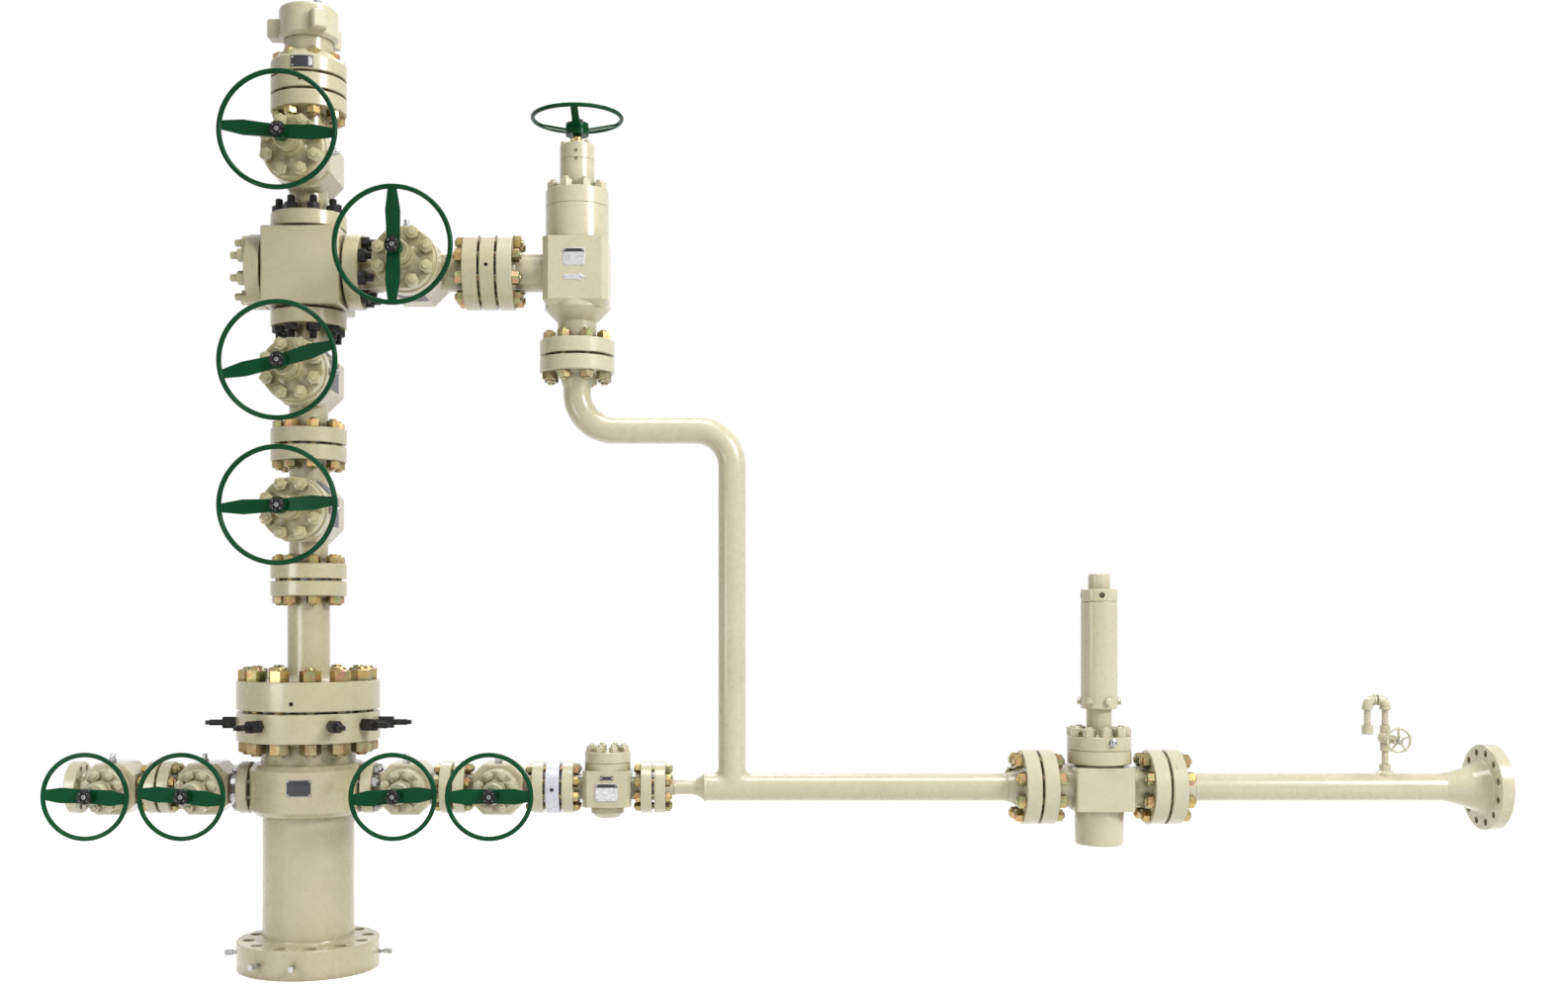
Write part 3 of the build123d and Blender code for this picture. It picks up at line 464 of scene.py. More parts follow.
class Shape:
    """Small meshes from which the pieces are put together."""

    MERGE = 1e-6
    NUT_FACE = 0.94
    NUT_SLOPE = 0.58
    CORNER_STEPS = 4
    RIM_EASE = 0.25

    @classmethod
    def kept(cls, bm: bmesh.types.BMesh) -> Mesh:
        """Closes a mesh and turns its faces outwards.

        Args:
            bm: Mesh in the making; it is freed.

        Returns:
            The mesh.
        """
        bmesh.ops.remove_doubles(bm, verts=bm.verts[:], dist=cls.MERGE)
        bmesh.ops.holes_fill(bm, edges=[e for e in bm.edges if e.is_boundary], sides=0)
        bmesh.ops.recalc_face_normals(bm, faces=bm.faces[:])
        mesh = bpy.data.meshes.new("shape")
        bm.to_mesh(mesh)
        bm.free()
        return mesh

    @classmethod
    def turned(
        cls, outline: Sequence[Pair], steps: int, sweep: float = 360.0, closed: bool = False
    ) -> Mesh:
        """Turns an outline about Z.

        Args:
            outline: Corners as (radius, height).
            steps: Sides of the turned piece.
            sweep: How far it is turned, in degrees, from +X on.
            closed: Whether the outline ends where it starts.

        Returns:
            The mesh.
        """
        bm = bmesh.new()
        verts = [bm.verts.new((r, 0, z)) for r, z in outline]
        pairs = list(zip(verts, verts[1:]))
        if closed:
            pairs.append((verts[-1], verts[0]))
        edges = [bm.edges.new(pair) for pair in pairs]
        bmesh.ops.spin(
            bm, geom=verts + edges, cent=(0, 0, 0), axis=(0, 0, 1), angle=math.radians(sweep),
            steps=steps, use_merge=sweep == 360.0,
        )
        return cls.kept(bm)

    @classmethod
    def rod(
        cls, radius: float, low: float, high: float, ease: float = 0.0, steps: int = 16
    ) -> Mesh:
        """A round bar with its upper edge eased.

        Args:
            radius: Radius of the bar.
            low: Height of its foot.
            high: Height of its top.
            ease: Bevel of the upper edge.
            steps: Sides of the bar.

        Returns:
            The mesh.
        """
        outline = [(0, low), (radius, low), (radius, high - ease)]
        if ease > 0:
            outline.append((radius - ease, high))
        outline.append((0, high))
        return cls.turned(outline, steps)

    @classmethod
    def hexagon(cls, across: float, height: float, cuts: int = 2) -> Mesh:
        """A hexagon whose upper corners are turned off by a cone, as on a nut.

        Args:
            across: Distance across flats.
            height: Height from 0 up.
            cuts: Points between two corners.

        Returns:
            The mesh.
        """
        flat = across / 2
        face = flat * cls.NUT_FACE
        corner = flat / math.cos(math.pi / 6)
        bm = bmesh.new()
        bmesh.ops.create_circle(bm, segments=6, radius=corner)
        bmesh.ops.subdivide_edges(bm, edges=bm.edges[:], cuts=cuts)
        loop = bm.edges[:]
        for rise in (height, 0.0):
            grown = bmesh.ops.extrude_edge_only(bm, edges=loop)["geom"]
            upper = [g for g in grown if isinstance(g, bmesh.types.BMVert)]
            loop = [g for g in grown if isinstance(g, bmesh.types.BMEdge)]
            bmesh.ops.translate(bm, verts=upper, vec=(0, 0, rise))
            for vert in upper:
                reach = vert.co.xy.length
                if rise:
                    vert.co.z -= (reach - face) * cls.NUT_SLOPE
                else:
                    vert.co = (vert.co.x / reach * face, vert.co.y / reach * face, height)
        return cls.kept(bm)

    @classmethod
    def plate(cls, wide: float, tall: float, thick: float, corner: float) -> Mesh:
        """A thin plate with round corners, lying flat from height 0 up.

        Args:
            wide: Size along X.
            tall: Size along Y.
            thick: Thickness.
            corner: Corner radius.

        Returns:
            The mesh.
        """
        bm = bmesh.new()
        place = Matrix.Translation((0, 0, thick / 2)) @ Matrix.Diagonal((wide, tall, thick, 1))
        bmesh.ops.create_cube(bm, size=1, matrix=place)
        upright = [e for e in bm.edges if abs(e.verts[0].co.z - e.verts[1].co.z) > thick / 2]
        bmesh.ops.bevel(
            bm, geom=upright, offset=corner, affect="EDGES", segments=cls.CORNER_STEPS, profile=0.5,
            material=-1,
        )
        rim = [e for e in bm.edges if all(v.co.z > thick / 2 for v in e.verts)]
        ease = thick * cls.RIM_EASE
        bmesh.ops.bevel(bm, geom=rim, offset=ease, affect="EDGES", segments=1, profile=0.5, material=-1)
        return cls.kept(bm)

    @classmethod
    def sheet(cls, outline: Sequence[Pair], thick: float) -> Mesh:
        """A flat sheet cut to an outline, from height 0 up.

        Args:
            outline: Corners as (x, y).
            thick: Thickness.

        Returns:
            The mesh.
        """
        bm = bmesh.new()
        face = bm.faces.new([bm.verts.new((x, y, 0)) for x, y in outline])
        grown = bmesh.ops.extrude_face_region(bm, geom=[face])["geom"]
        upper = [g for g in grown if isinstance(g, bmesh.types.BMVert)]
        bmesh.ops.translate(bm, verts=upper, vec=(0, 0, thick))
        return cls.kept(bm)


class Piece:
    """One visible piece, gathered from shapes."""

    def __init__(self, name: str, finish: Finish, body: str = STACK, slot: str = "plated_steel") -> None:
        """Starts a piece.

        Args:
            name: Name of the piece.
            finish: Its finish.
            body: Body that it moves with.
            slot: Material slot of the record; it is stored but not used.
        """
        self.name = name
        self.finish = finish
        self.body = body
        self.slot = slot
        self.bm = bmesh.new()

    def add(self, shape: Mesh, *places: Matrix) -> "Piece":
        """Adds copies of a shape.

        Args:
            shape: Shape to add.
            places: Where they go.

        Returns:
            The piece itself.
        """
        for place in places:
            copy = shape.copy()
            copy.transform(place)
            self.bm.from_mesh(copy)
            bpy.data.meshes.remove(copy)
        return self

    def settle(self, smooth: float = 32.0) -> bpy.types.Object:
        """Makes the object, gives it its finish and its body.

        Args:
            smooth: Edges flatter than this many degrees are shaded smooth.

        Returns:
            The object.
        """
        mesh = bpy.data.meshes.new(self.name)
        self.bm.to_mesh(mesh)
        self.bm.free()
        mesh.shade_smooth()
        mesh.set_sharp_from_angle(angle=math.radians(smooth))
        mesh.materials.append(self.finish.material)
        piece = bpy.data.objects.new(self.name, mesh)
        bpy.context.scene.collection.objects.link(piece)
        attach(piece, self.body)
        LOG.info("%s: %d faces on %s", self.name, len(mesh.polygons), self.body)
        return piece


def centre(node: str) -> Vector:
    """The centre of a CAD node's box."""
    low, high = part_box(node)
    return (low + high) / 2


def shifted(place: Vector, way: Way, spin: float = 0.0) -> Matrix:
    """Where a shape goes.

    Args:
        place: Point that its origin goes to.
        way: Where its +Z side points.
        spin: Turn about its own axis, in degrees.

    Returns:
        The placing matrix.
    """
    return Matrix.Translation(place) @ way.turn @ Matrix.Rotation(math.radians(spin), 4, "Z")


def spoke(angle: float, reach: float = 0.0) -> Matrix:
    """A turn about Z, then a step outwards.

    Args:
        angle: Turn in degrees.
        reach: Step along the turned X.

    Returns:
        The matrix.
    """
    return Matrix.Rotation(math.radians(angle), 4, "Z") @ Matrix.Translation((reach, 0, 0))


def outwards(axis: Vector, angle: float, reach: float) -> Matrix:
    """Where a shape goes that stands out from an upright axis.

    Args:
        axis: Point on the axis, at the shape's height.
        angle: Turn from the front towards +X, in degrees.
        reach: Distance of its foot from the axis.

    Returns:
        The placing matrix; the shape's +Z looks outwards and its +Y up.
    """
    return (
        Matrix.Translation(axis) @ Matrix.Rotation(math.radians(angle), 4, "Z")
        @ Matrix.Translation((0, -reach, 0)) @ Way.FRONT.turn
    )


@dataclass(frozen=True)
class Bolting:
    """One size of stud bolting on a round joint, in metres."""

    circle: float
    count: int
    stud: float
    across: float
    height: float
    seat: float
    tail: float
    pitch: float = 0.0036
    thread: float = 0.45
    sunk: float = 0.9
    point_tall: float = 0.28
    point_wide: float = 0.80
    end_steps: int = 12
    shank_steps: int = 10

    def angles(self) -> list[float]:
        """The bolts' angles in degrees, straddling the centre lines."""
        return [360 / self.count * (k + 0.5) for k in range(self.count)]

    def nut(self) -> Mesh:
        """A heavy hexagon nut."""
        return Shape.hexagon(self.across, self.height)

    def end(self, tail: float | None = None, cut: bool = False) -> Mesh:
        """The stud's end that stands out of the nut.

        Args:
            tail: How far it stands out; the size's own tail if left out.
            cut: Whether its thread shows.

        Returns:
            A rod with a rounded point, from inside the nut up.
        """
        r = self.stud / 2
        top = self.height + (self.tail if tail is None else tail)
        outline = [(r, self.height * self.sunk)]
        if cut:
            turns = int((top - self.height) / self.pitch) - 1
            for k in range(turns):
                foot = self.height + k * self.pitch
                outline += [(r, foot), (r - self.pitch * self.thread, foot + self.pitch / 2)]
        outline += [(r, top - r * self.point_tall), (r * self.point_wide, top), (0, top)]
        return Shape.turned(outline, self.end_steps)

    def shank(self, length: float) -> Mesh:
        """The stud between two nuts.

        Args:
            length: Its length, from 0 up.

        Returns:
            A plain rod.
        """
        return Shape.rod(self.stud / 2, 0, length, steps=self.shank_steps)


HEAD_BOLTS = Bolting(0.4826, 12, 0.0476, 0.0746, 0.0470, 0.119, 0.010)
TREE_BOLTS = Bolting(0.2413, 8, 0.0318, 0.0508, 0.0310, 0.062, 0.008)
SIDE_BOLTS = Bolting(0.1651, 8, 0.0222, 0.0365, 0.0222, 0.046, 0.007)
BIG_BONNET_BOLTS = Bolting(0.2070, 8, 0.0286, 0.0480, 0.0290, 0.056, 0.008)
SMALL_BONNET_BOLTS = Bolting(0.1400, 8, 0.0206, 0.0350, 0.0200, 0.038, 0.006)
CHOKE_BONNET_BOLTS = Bolting(0.2060, 8, 0.0286, 0.0480, 0.0290, 0.070, 0.012)
CHECK_CAP_BOLTS = Bolting(0.1440, 8, 0.0206, 0.0350, 0.0210, 0.048, 0.008)
SAFETY_BONNET_BOLTS = Bolting(0.2120, 10, 0.0286, 0.0460, 0.0340, 0.058, 0.006)
LONG_TAIL = 0.030


@dataclass
class FlangedJoint:
    """The studs and nuts of one flanged joint."""

    name: str
    bolts: Bolting
    way: Way
    line: str
    near: str | None
    far: str | None
    near_finish: Finish
    far_finish: Finish

    @property
    def axis(self) -> int:
        """Number of the axis that the studs lie along."""
        return 2 if self.way is Way.UP else 0

    def seats(self) -> tuple[float | None, float | None]:
        """Where the near and the far nuts sit, None on a side without nuts.

        Returns:
            The two coordinates along the studs.
        """
        near = self.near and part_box(self.near)[1][self.axis] - self.bolts.seat
        far = self.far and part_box(self.far)[0][self.axis] + self.bolts.seat
        return near, far

    def point(self, along: float) -> Vector:
        """A point on the joint's centre line.

        Args:
            along: Coordinate along the line.

        Returns:
            The point.
        """
        middle = centre(self.line)
        place = Vector((middle.x, 0, middle.z))
        place[self.axis] = along
        return place

    def around(self, along: float, angle: float) -> Vector:
        """A point on the bolt circle.

        Args:
            along: Coordinate along the centre line.
            angle: Angle about the line in degrees.

        Returns:
            The point.
        """
        arm = spoke(angle, self.bolts.circle / 2).translation
        return self.point(along) + self.way.turn @ arm

    def nuts(self, side: str, seat: float, way: Way, finish: Finish, dice: random.Random) -> None:
        """Makes the nuts and stud ends on one side.

        Args:
            side: Name of the side.
            seat: Coordinate of the face that they sit on.
            way: Where the face looks.
            finish: Their finish.
            dice: Source of the nuts' turns.
        """
        slot = "ivory_paint" if finish is Finish.WORN_SHADED_IVORY else "plated_steel"
        piece = Piece(f"{self.name}_{side}_nuts", finish, slot=slot)
        long = finish in (Finish.BLACK, Finish.WORN_SHADED_IVORY)
        nut = self.bolts.nut()
        tip = self.bolts.end(LONG_TAIL, cut=finish is Finish.BLACK) if long else self.bolts.end()
        for angle in self.bolts.angles():
            place = self.around(seat, angle)
            piece.add(nut, shifted(place, way, dice.uniform(0, HEX_TURN)))
            piece.add(tip, shifted(place, way))
        piece.settle()

    def build(self, dice: random.Random) -> None:
        """Makes the joint's nuts, stud ends and shanks.

        Args:
            dice: Source of the nuts' turns.
        """
        start, end = self.seats()
        deep = self.bolts.stud
        low = start if start is not None else end - self.bolts.seat - deep
        high = end if end is not None else start + self.bolts.seat + deep
        if start is not None:
            self.nuts("near", start, self.way.other, self.near_finish, dice)
        if end is not None:
            self.nuts("far", end, self.way, self.far_finish, dice)
        studs = Piece(f"{self.name}_studs", self.far_finish if end is not None else self.near_finish)
        places = [shifted(self.around(low, angle), self.way) for angle in self.bolts.angles()]
        studs.add(self.bolts.shank(high - low), *places).settle()


class FlangeBolting:
    """All flanged joints of the stack, the wing and the lower run."""

    SEED = 4

    def __init__(self) -> None:
        """Lists the joints from the ground up, then along the wing and the run."""
        up, right = Way.UP, Way.RIGHT
        gold, brown, black = Finish.GOLD, Finish.BROWN, Finish.BLACK
        zinc, ivory = Finish.ZINC, Finish.WORN_SHADED_IVORY
        head, tree, side = HEAD_BOLTS, TREE_BOLTS, SIDE_BOLTS
        mast, run = "flow_cross", RUN
        rows = (
            ("head_joint", head, up, mast, "tubing_head", "tubing_head_adapter", brown, gold),
            ("adapter_joint", tree, up, mast, "tubing_head_adapter", "lower_master_body", gold, gold),
            ("master_joint", tree, up, mast, "lower_master_body", "upper_master_body", gold, gold),
            ("cross_foot_joint", tree, up, mast, "upper_master_body", None, black, black),
            ("cross_top_joint", tree, up, mast, None, "swab_body", black, black),
            ("cap_joint", tree, up, mast, "swab_body", "tree_cap", gold, gold),
            ("blind_joint", tree, right, mast, "cross_blind_flange", None, ivory, ivory),
            ("wing_joint", tree, right, mast, None, "wing_body", black, black),
            ("choke_joint", tree, right, mast, "wing_body", "choke_body", gold, gold),
            ("riser_joint", tree, up, "choke_bonnet", "riser_pipe", "choke_body", brown, gold),
            ("left_head_joint", side, right, run, "inner_left_body", None, zinc, zinc),
            ("left_pair_joint", side, right, run, "outer_left_body", "inner_left_body", gold, gold),
            ("right_head_joint", side, right, run, None, "inner_right_body", zinc, zinc),
            ("right_pair_joint", side, right, run, "inner_right_body", "outer_right_body", gold, gold),
            ("check_joint", side, right, run, "outer_right_body", "check_valve_body", gold, gold),
            ("header_joint", side, right, run, "check_valve_body", "header_pipe", gold, gold),
            ("safety_joint", tree, right, run, "header_pipe", "safety_valve_body", gold, gold),
            ("outlet_joint", tree, right, run, "safety_valve_body", "outlet_pipe", gold, gold),
        )
        self.joints = [FlangedJoint(*row) for row in rows]

    def build(self) -> None:
        """Makes every joint's studs and nuts."""
        dice = random.Random(self.SEED)
        for joint in self.joints:
            joint.build(dice)


@dataclass
class BonnetBolting:
    """Painted nuts on the covers of valves and the choke."""

    seed: int = 9

    def ring(
        self, name: str, bolts: Bolting, foot: Vector, way: Way, dice: random.Random,
        finish: Finish = Finish.IVORY,
    ) -> None:
        """Makes one ring of nuts.

        Args:
            name: Name of the piece.
            bolts: Size of the bolting.
            foot: Centre of the face that the nuts sit on.
            way: Where the face looks.
            dice: Source of the nuts' turns.
            finish: Their finish.
        """
        piece = Piece(name, finish, slot="ivory_paint")
        nut, tip = bolts.nut(), bolts.end()
        for angle in bolts.angles():
            place = shifted(foot, way) @ spoke(angle, bolts.circle / 2)
            piece.add(nut, place @ Matrix.Rotation(dice.uniform(0, math.tau), 4, "Z"))
            piece.add(tip, place)
        piece.settle()

    def build(self) -> None:
        """Makes the nuts of every bolted cover."""
        dice = random.Random(self.seed)
        sizes = (
            (BIG_VALVES, BIG_BONNET_BOLTS, Finish.WORN_SHADED_IVORY),
            (SMALL_VALVES, SMALL_BONNET_BOLTS, Finish.IVORY),
        )
        for valves, bolts, finish in sizes:
            for valve in valves:
                foot = centre(f"{valve}_bonnet")
                foot.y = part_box(f"{valve}_bonnet")[1].y - bolts.seat
                self.ring(f"{valve}_bonnet_nuts", bolts, foot, Way.FRONT, dice, finish)
        covers = (
            ("choke_bonnet", CHOKE_BONNET_BOLTS), ("check_valve_cap", CHECK_CAP_BOLTS),
            ("safety_valve_bonnet", SAFETY_BONNET_BOLTS),
        )
        for node, bolts in covers:
            foot = centre(node)
            foot.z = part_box(node)[0].z + bolts.seat
            self.ring(f"{node}_nuts", bolts, foot, Way.UP, dice)


@dataclass(frozen=True)
class BonnetSizes:
    """One size of gate valve bonnet, in metres."""

    plate: float
    thick: float
    flare: float
    flare_long: float
    hub: float
    hub_long: float
    cap: float
    bore: float
    seam: float = 0.004
    ease: float = 0.003
    bore_deep: float = 0.050
    arc_steps: int = 5

    def outline(self, long: float) -> list[Pair]:
        """The bonnet's outline from its joint face to the mouth of its bore.

        Args:
            long: Its whole length.

        Returns:
            Corners as (radius, height).
        """
        foot, seat = self.thick, self.thick + self.hub_long
        rise = []
        for k in range(self.arc_steps + 1):
            turn = math.pi / 2 * k / self.arc_steps
            reach = self.hub + (self.flare - self.hub) * (1 - math.sin(turn))
            rise.append((reach, foot + self.flare_long * (1 - math.cos(turn))))
        return [
            (0, 0), (self.plate - self.ease, 0), (self.plate, self.ease), (self.plate, foot - self.ease),
            (self.plate - self.ease, foot), *rise,
            (self.hub, seat - self.seam), (self.cap - self.seam, seat - self.seam),
            (self.cap - self.seam, seat), (self.cap, seat), (self.cap, long - self.ease),
            (self.cap - self.ease, long), (self.bore, long), (self.bore, long - self.bore_deep),
            (0, long - self.bore_deep),
        ]


BIG_BONNET = BonnetSizes(0.1255, 0.056, 0.072, 0.024, 0.049, 0.068, 0.044, 0.0193)
SMALL_BONNET = BonnetSizes(0.0865, 0.038, 0.060, 0.014, 0.047, 0.052, 0.043, 0.0153)


@dataclass
class GateBonnets:
    """Round bonnets of the gate valves, with a flare from plate to hub."""

    steps: int = 56

    def build(self) -> None:
        """Makes every gate valve's bonnet in the place of its plain solid."""
        for valves, sizes in ((BIG_VALVES, BIG_BONNET), (SMALL_VALVES, SMALL_BONNET)):
            for valve in valves:
                self.dress(valve, sizes)

    def dress(self, valve: str, sizes: BonnetSizes) -> None:
        """Makes one bonnet.

        Args:
            valve: Name of the valve.
            sizes: Its sizes.
        """
        node = f"{valve}_bonnet"
        low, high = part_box(node)
        foot = centre(node)
        foot.y = high.y
        finish = Finish.WORN_SHADED_IVORY if valve in BIG_VALVES else Finish.IVORY
        piece = Piece(f"{valve}_round_bonnet", finish, slot="ivory_paint")
        shape = Shape.turned(sizes.outline(high.y - low.y), self.steps)
        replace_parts(piece.add(shape, shifted(foot, Way.FRONT)).settle(), node)


@dataclass
class WheelNuts:
    """The slotted nut and the stem's end on each gate valve's handwheel."""

    ring: Outline = ((0.010, 0), (0.028, 0), (0.028, 0.0088), (0.010, 0.0088))
    ring_steps: int = 30
    tooth: Outline = (
        (0.0115, 0.008), (0.028, 0.008), (0.028, 0.01376), (0.02604, 0.016), (0.0125, 0.016)
    )
    tooth_steps: int = 5
    slots: int = 6
    slot_share: float = 0.34
    stem: Outline = (
        (0.0098, 0), (0.0098, 0.01152), (0.008, 0.01376), (0.005, 0.01376), (0.0035, 0.008), (0, 0.008)
    )
    stem_steps: int = 20
    pin: Outline = ((0, 0.008), (0.0021, 0.008), (0.0021, 0.01676), (0.00126, 0.0176), (0, 0.0176))
    pin_steps: int = 8
    pin_reach: float = 0.02072
    pins: int = 4
    big_boss: float = 0.013
    small_boss: float = 0.0075

    def build(self) -> None:
        """Makes the nuts of all gate valve wheels."""
        for valves, boss in ((BIG_VALVES, self.big_boss), (SMALL_VALVES, self.small_boss)):
            for valve in valves:
                self.dress(f"{valve}_handwheel", boss)

    def dress(self, wheel: str, boss: float) -> None:
        """Makes one wheel's nut, stem end and pins.

        Args:
            wheel: Node of the wheel.
            boss: How far the boss's face lies behind the front of the rim.
        """
        foot = centre(wheel)
        foot.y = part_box(wheel)[0].y + boss
        place = shifted(foot, Way.FRONT)
        nut = Piece(f"{wheel}_nut", Finish.BLACK, wheel, "black_steel")
        nut.add(Shape.turned(self.ring, self.ring_steps, closed=True), place)
        pitch = 360 / self.slots
        tooth = Shape.turned(self.tooth, self.tooth_steps, pitch * (1 - self.slot_share), closed=True)
        nut.add(tooth, *(place @ spoke(pitch * k) for k in range(self.slots))).settle()
        bright = Piece(f"{wheel}_stem_end", Finish.STEEL, wheel, "bright_steel")
        bright.add(Shape.turned(self.stem, self.stem_steps), place)
        turns = [360 / self.pins * (k + 0.5) for k in range(self.pins)]
        pin = Shape.turned(self.pin, self.pin_steps)
        bright.add(pin, *(place @ spoke(turn, self.pin_reach) for turn in turns)).settle()


@dataclass(frozen=True)
class TippedNut:
    """A hexagon with a turned tip, in metres and degrees."""

    across: float
    tall: float
    spin: float
    tip: Outline
    steps: int = 16

    def dress(self, piece: Piece, place: Matrix) -> None:
        """Makes a piece of the hexagon and its tip.

        Args:
            piece: The empty piece.
            place: Where the hexagon's foot goes.
        """
        piece.add(Shape.hexagon(self.across, self.tall), place @ spoke(self.spin))
        piece.add(Shape.turned(self.tip, self.steps), place).settle()


GREASE_FITTING = TippedNut(
    0.030, 0.022, 15, ((0, 0.0198), (0.0105, 0.0198), (0.0105, 0.03675), (0.007875, 0.04095), (0, 0.042))
)
BONNET_VENT = TippedNut(0.030, 0.012, 0, (
    (0.0102, 0.0108), (0.0102, 0.022), (0.00816, 0.024), (0.00408, 0.024), (0.00357, 0.018), (0, 0.018),
))
CHOKE_WHEEL_NUT = TippedNut(
    0.046, 0.018, 12, ((0, 0.0162), (0.01472, 0.0162), (0.01472, 0.0223), (0.01272, 0.0243), (0, 0.0243))
)
BLEED_WHEEL_NUT = TippedNut(
    0.019, 0.009, 9, ((0, 0.0072), (0.00532, 0.0072), (0.00532, 0.0125), (0.00432, 0.0135), (0, 0.0135)), 12
)
TREE_CAP_PLUG = TippedNut(
    0.036, 0.018, 20, ((0, 0.0162), (0.0108, 0.0162), (0.0108, 0.02376), (0.00756, 0.027), (0, 0.027))
)
# How far the foot of a fitting lies inside the face that it sits on.
SUNK = 0.001


@dataclass
class GreaseFittings:
    """Capped grease fittings: on the bonnet seat of large valves, on the block of small ones."""

    big_seat: float = 0.1320
    big_front: float = 0.196
    small_seat: float = 0.1050
    small_front: float = 0.052

    def build(self) -> None:
        """Makes the fittings of all gate valves."""
        for valve in BIG_VALVES:
            lying = valve == "wing"
            self.dress(valve, Way.UP if lying else Way.RIGHT, self.big_seat, self.big_front)
        for valve in SMALL_VALVES:
            self.dress(valve, Way.UP, self.small_seat, self.small_front)

    def dress(self, valve: str, way: Way, seat: float, front: float) -> None:
        """Makes one valve's fitting.

        Args:
            valve: Name of the valve.
            way: Where the fitting points.
            seat: Distance of its foot from the valve's axis.
            front: Distance in front of the valve's middle.
        """
        foot = centre(f"{valve}_bonnet")
        foot.y = -front
        foot += way.turn @ Vector((0, 0, seat - SUNK))
        GREASE_FITTING.dress(Piece(f"{valve}_grease_fitting", Finish.ZINC), shifted(foot, way))


def plate_slot(finish: Finish) -> str:
    """The record's slot for a plate of a finish."""
    return "plated_steel" if finish in (Finish.PLATE, Finish.STEEL) else "black_steel"


@dataclass(frozen=True)
class PlateLayer:
    """A sheet or a dark field of a bent plate, as shares of the plate's width and height."""

    name: str
    finish: Finish
    run: Pair = (0.0, 1.0)
    rise: Pair = (0.0, 1.0)


HEAD_PLATE_LAYERS = (
    PlateLayer("sheet", Finish.STEEL),
    PlateLayer("field", Finish.PLATE_GREY, (0.03, 0.97), (0.05, 0.70)),
    PlateLayer("band", Finish.PLATE_INK, (0.03, 0.97), (0.70, 0.96)),
)
CAP_PLATE_LAYERS = (
    PlateLayer("sheet", Finish.PLATE_INK),
    PlateLayer("end", Finish.PLATE, (0.80, 0.97), (0.10, 0.90)),
)
# Corners of the flow arrow, which points right, and of the banner with notched ends.
ARROW = (
    (-0.047, -0.00935), (0.0141, -0.00935), (0.0141, -0.017), (0.047, 0), (0.0141, 0.017),
    (0.0141, 0.00935), (-0.047, 0.00935),
)
BANNER = (
    (-0.025, -0.009), (-0.018, -0.0063), (0.018, -0.0063), (0.025, -0.009), (0.025, 0.009),
    (0.018, 0.0063), (-0.018, 0.0063), (-0.025, 0.009),
)


